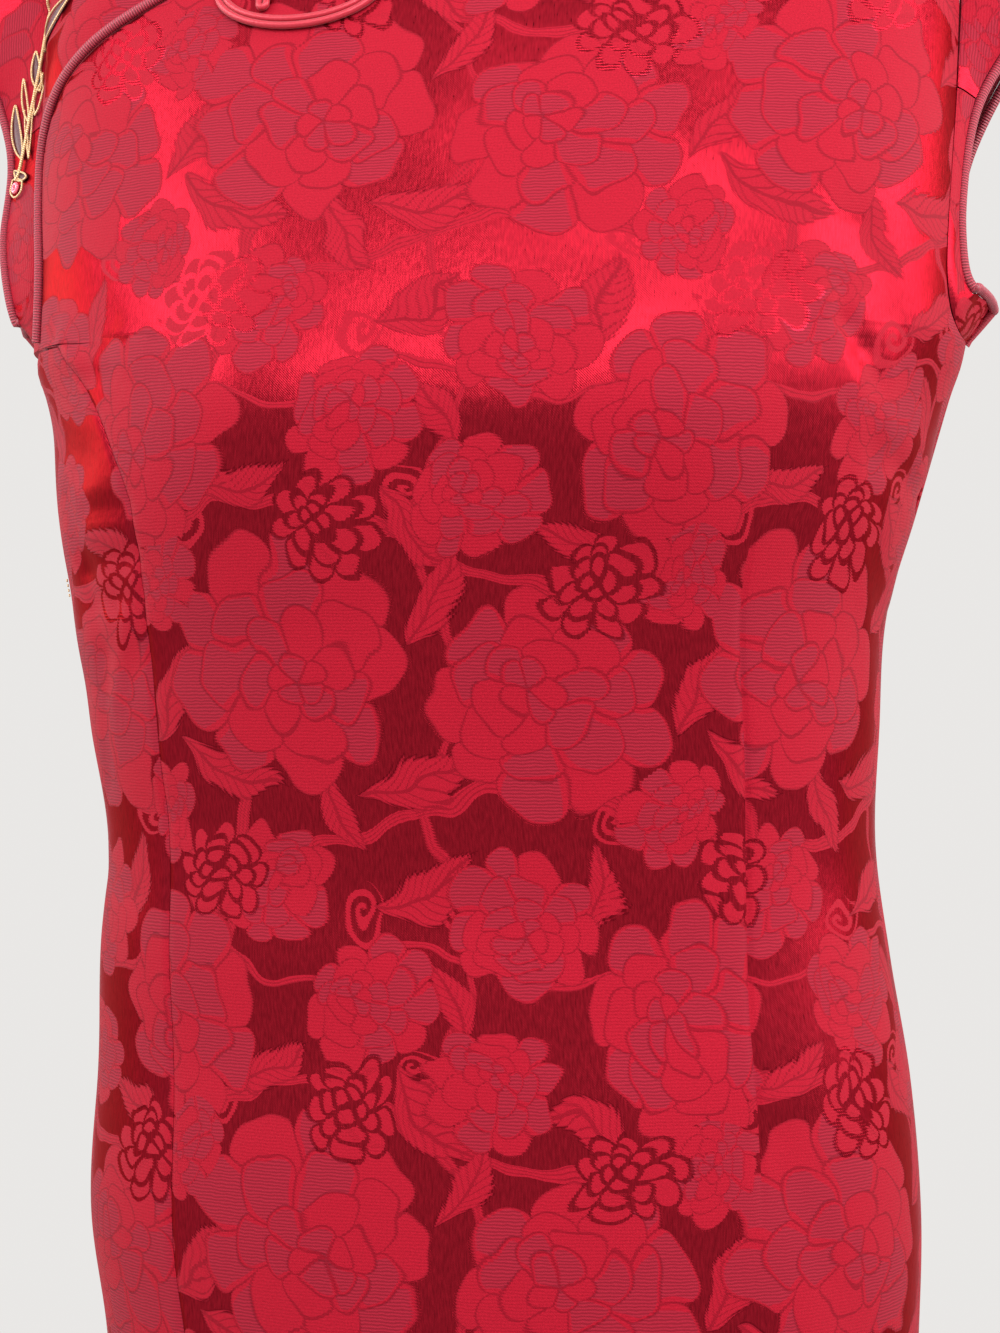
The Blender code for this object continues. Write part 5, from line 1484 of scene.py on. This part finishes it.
golden = [layThread("stem", embroidery["stem"], embroidery["goldStem"], silk["goldLurexThread"])]
filled = []
for k, (foot, tip, half, dark) in enumerate(embroidery["leaves"]):
    rows = leafOutline(foot, tip, half, 9)
    around = [tuple(a) for a, b in rows] + [tuple(b) for a, b in rows[::-1]][1:-1]
    golden.append(layThread("edge%d" % k, around, embroidery["gold"], silk["goldLurexThread"],
                            closed=True, steps=3))
    if dark:
        filled.append(fillLeaf("leaf%d" % k, foot, tip, half))
for k, places in enumerate(embroidery["buds"]):
    golden.append(layThread("bud%d" % k, places, embroidery["gold"] * 0.8, silk["goldLurexThread"]))
golden.append(layThread("loop", embroidery["beadLoop"], embroidery["gold"], silk["goldLurexThread"],
                        closed=True))
for k, z in enumerate(embroidery["tacks"]):
    u0, u1 = embroidery["tackAcross"]
    golden.append(layThread("tack%d" % k, [(u0, z), ((u0 + u1) / 2, z - 0.0003), (u1, z - 0.0006)],
                            embroidery["gold"] * 0.8, silk["goldLurexThread"], steps=4))
goldWork = joined("gold_embroidery", golden)
leafWork = joined("dark_leaf_embroidery", filled)
point, normal = onCloth(*embroidery["bead"])
bpy.ops.object.select_all(action="DESELECT")
bpy.ops.mesh.primitive_torus_add(major_radius=0.0017, minor_radius=0.0008, major_segments=28, minor_segments=14)
ringBead = bpy.context.active_object
ringBead.name = "ring_bead"
ringBead.data.transform(Vector(normal).to_track_quat("Z", "Y").to_matrix().to_4x4())
ringBead.data.transform(Matrix.Translation(Vector(point + normal * 0.0012)))
ringBead.data.materials.append(silk["glassBead"])
ringBead.data.polygons.foreach_set("use_smooth", np.ones(len(ringBead.data.polygons), bool))
print("embroidery done")


# camera, light and floor
studio = {"turn": 10.0, "distance": 1.0, "height": -0.365, "side": 0.0025, "lens": 65.87}
turn = math.radians(studio["turn"])
right = Vector((math.cos(turn), math.sin(turn), 0.0))
cameraData = bpy.data.cameras.new("camera")
cameraData.lens = studio["lens"]
cameraData.sensor_width = 36.0
cameraData.sensor_height = 36.0
cameraData.sensor_fit = "VERTICAL"
camera = bpy.data.objects.new("camera", cameraData)
bpy.context.collection.objects.link(camera)
away = Vector((math.sin(turn), -math.cos(turn), 0.0)) * studio["distance"]
camera.location = away + right * studio["side"] + Vector((0.0, 0.0, studio["height"]))
camera.rotation_euler = (math.radians(90.0), 0.0, turn)
bpy.context.scene.camera = camera

bpy.ops.object.select_all(action="DESELECT")
bpy.ops.mesh.primitive_circle_add(vertices=96, radius=0.85, fill_type="NGON",
                                  location=(0, 0, form["hem"] - 0.03))
floor = bpy.context.active_object
floor.name = "floor"
bpy.ops.object.transform_apply(location=True)
floorMaterial = bpy.data.materials.new("paleFloor")
floorMaterial.use_nodes = True
shader = floorMaterial.node_tree.nodes["Principled BSDF"]
shader.inputs["Base Color"].default_value = toLinear("#c9c7c4")
shader.inputs["Roughness"].default_value = 0.8
floor.data.materials.append(floorMaterial)


def softBox(name, place, target, width, height, power, colour="#ffffff"):
    data = bpy.data.lights.new(name, "AREA")
    data.shape = "RECTANGLE"
    data.size, data.size_y = width, height
    data.energy = power
    data.color = toLinear(colour)[:3]
    lamp = bpy.data.objects.new(name, data)
    bpy.context.collection.objects.link(lamp)
    lamp.location = place
    lamp.rotation_euler = (Vector(target) - Vector(place)).to_track_quat("-Z", "Y").to_euler()
    return lamp


softBox("windowAbove", (0.20, -1.50, 0.74), (0.0, -0.1, -0.25), 1.5, 0.80, 32)
softBox("windowLeft", (-1.25, -0.85, 0.62), (0.0, -0.1, -0.25), 0.95, 0.9, 21)
softBox("windowRight", (1.40, -0.55, 0.58), (0.0, -0.1, -0.27), 0.95, 1.0, 24)
softBox("windowFar", (1.45, 0.10, 0.10), (0.1, 0.0, -0.2), 0.9, 0.7, 11)
softBox("wallLeft", (-1.45, 0.15, 0.05), (-0.1, 0.0, -0.2), 0.9, 0.7, 7)
softBox("behind", (0.2, 1.6, 0.6), (0.0, 0.0, -0.4), 1.4, 1.0, 6)
world = bpy.data.worlds.new("paleRoom")
bpy.context.scene.world = world
world.use_nodes = True
world.node_tree.nodes["Background"].inputs["Color"].default_value = toLinear("#f2f0ee")
world.node_tree.nodes["Background"].inputs["Strength"].default_value = 0.92
bpy.context.scene.view_settings.view_transform = "Standard"
print("studio ready")


# how the pieces ride and what they replace
def stand(piece, node):
    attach(piece, "root")
    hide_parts(node)


stand(frontMain, "front_main")
stand(frontSide, "front_side_right")
stand(frontUnder, "front_under")
stand(back, "back")
stand(collarPiece, "collar")
for node, piece in sleevePieces.items():
    stand(piece, node)
stand(openingPiping, "opening_piping")
stand(collarPiping, "collar_piping")
for word, piece in sleevePiping.items():
    stand(piece, "sleeve_piping_" + word)
for node, piece in frogs.items():
    stand(piece, node)

for piece in (goldWork, leafWork, ringBead):
    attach(piece, "root")
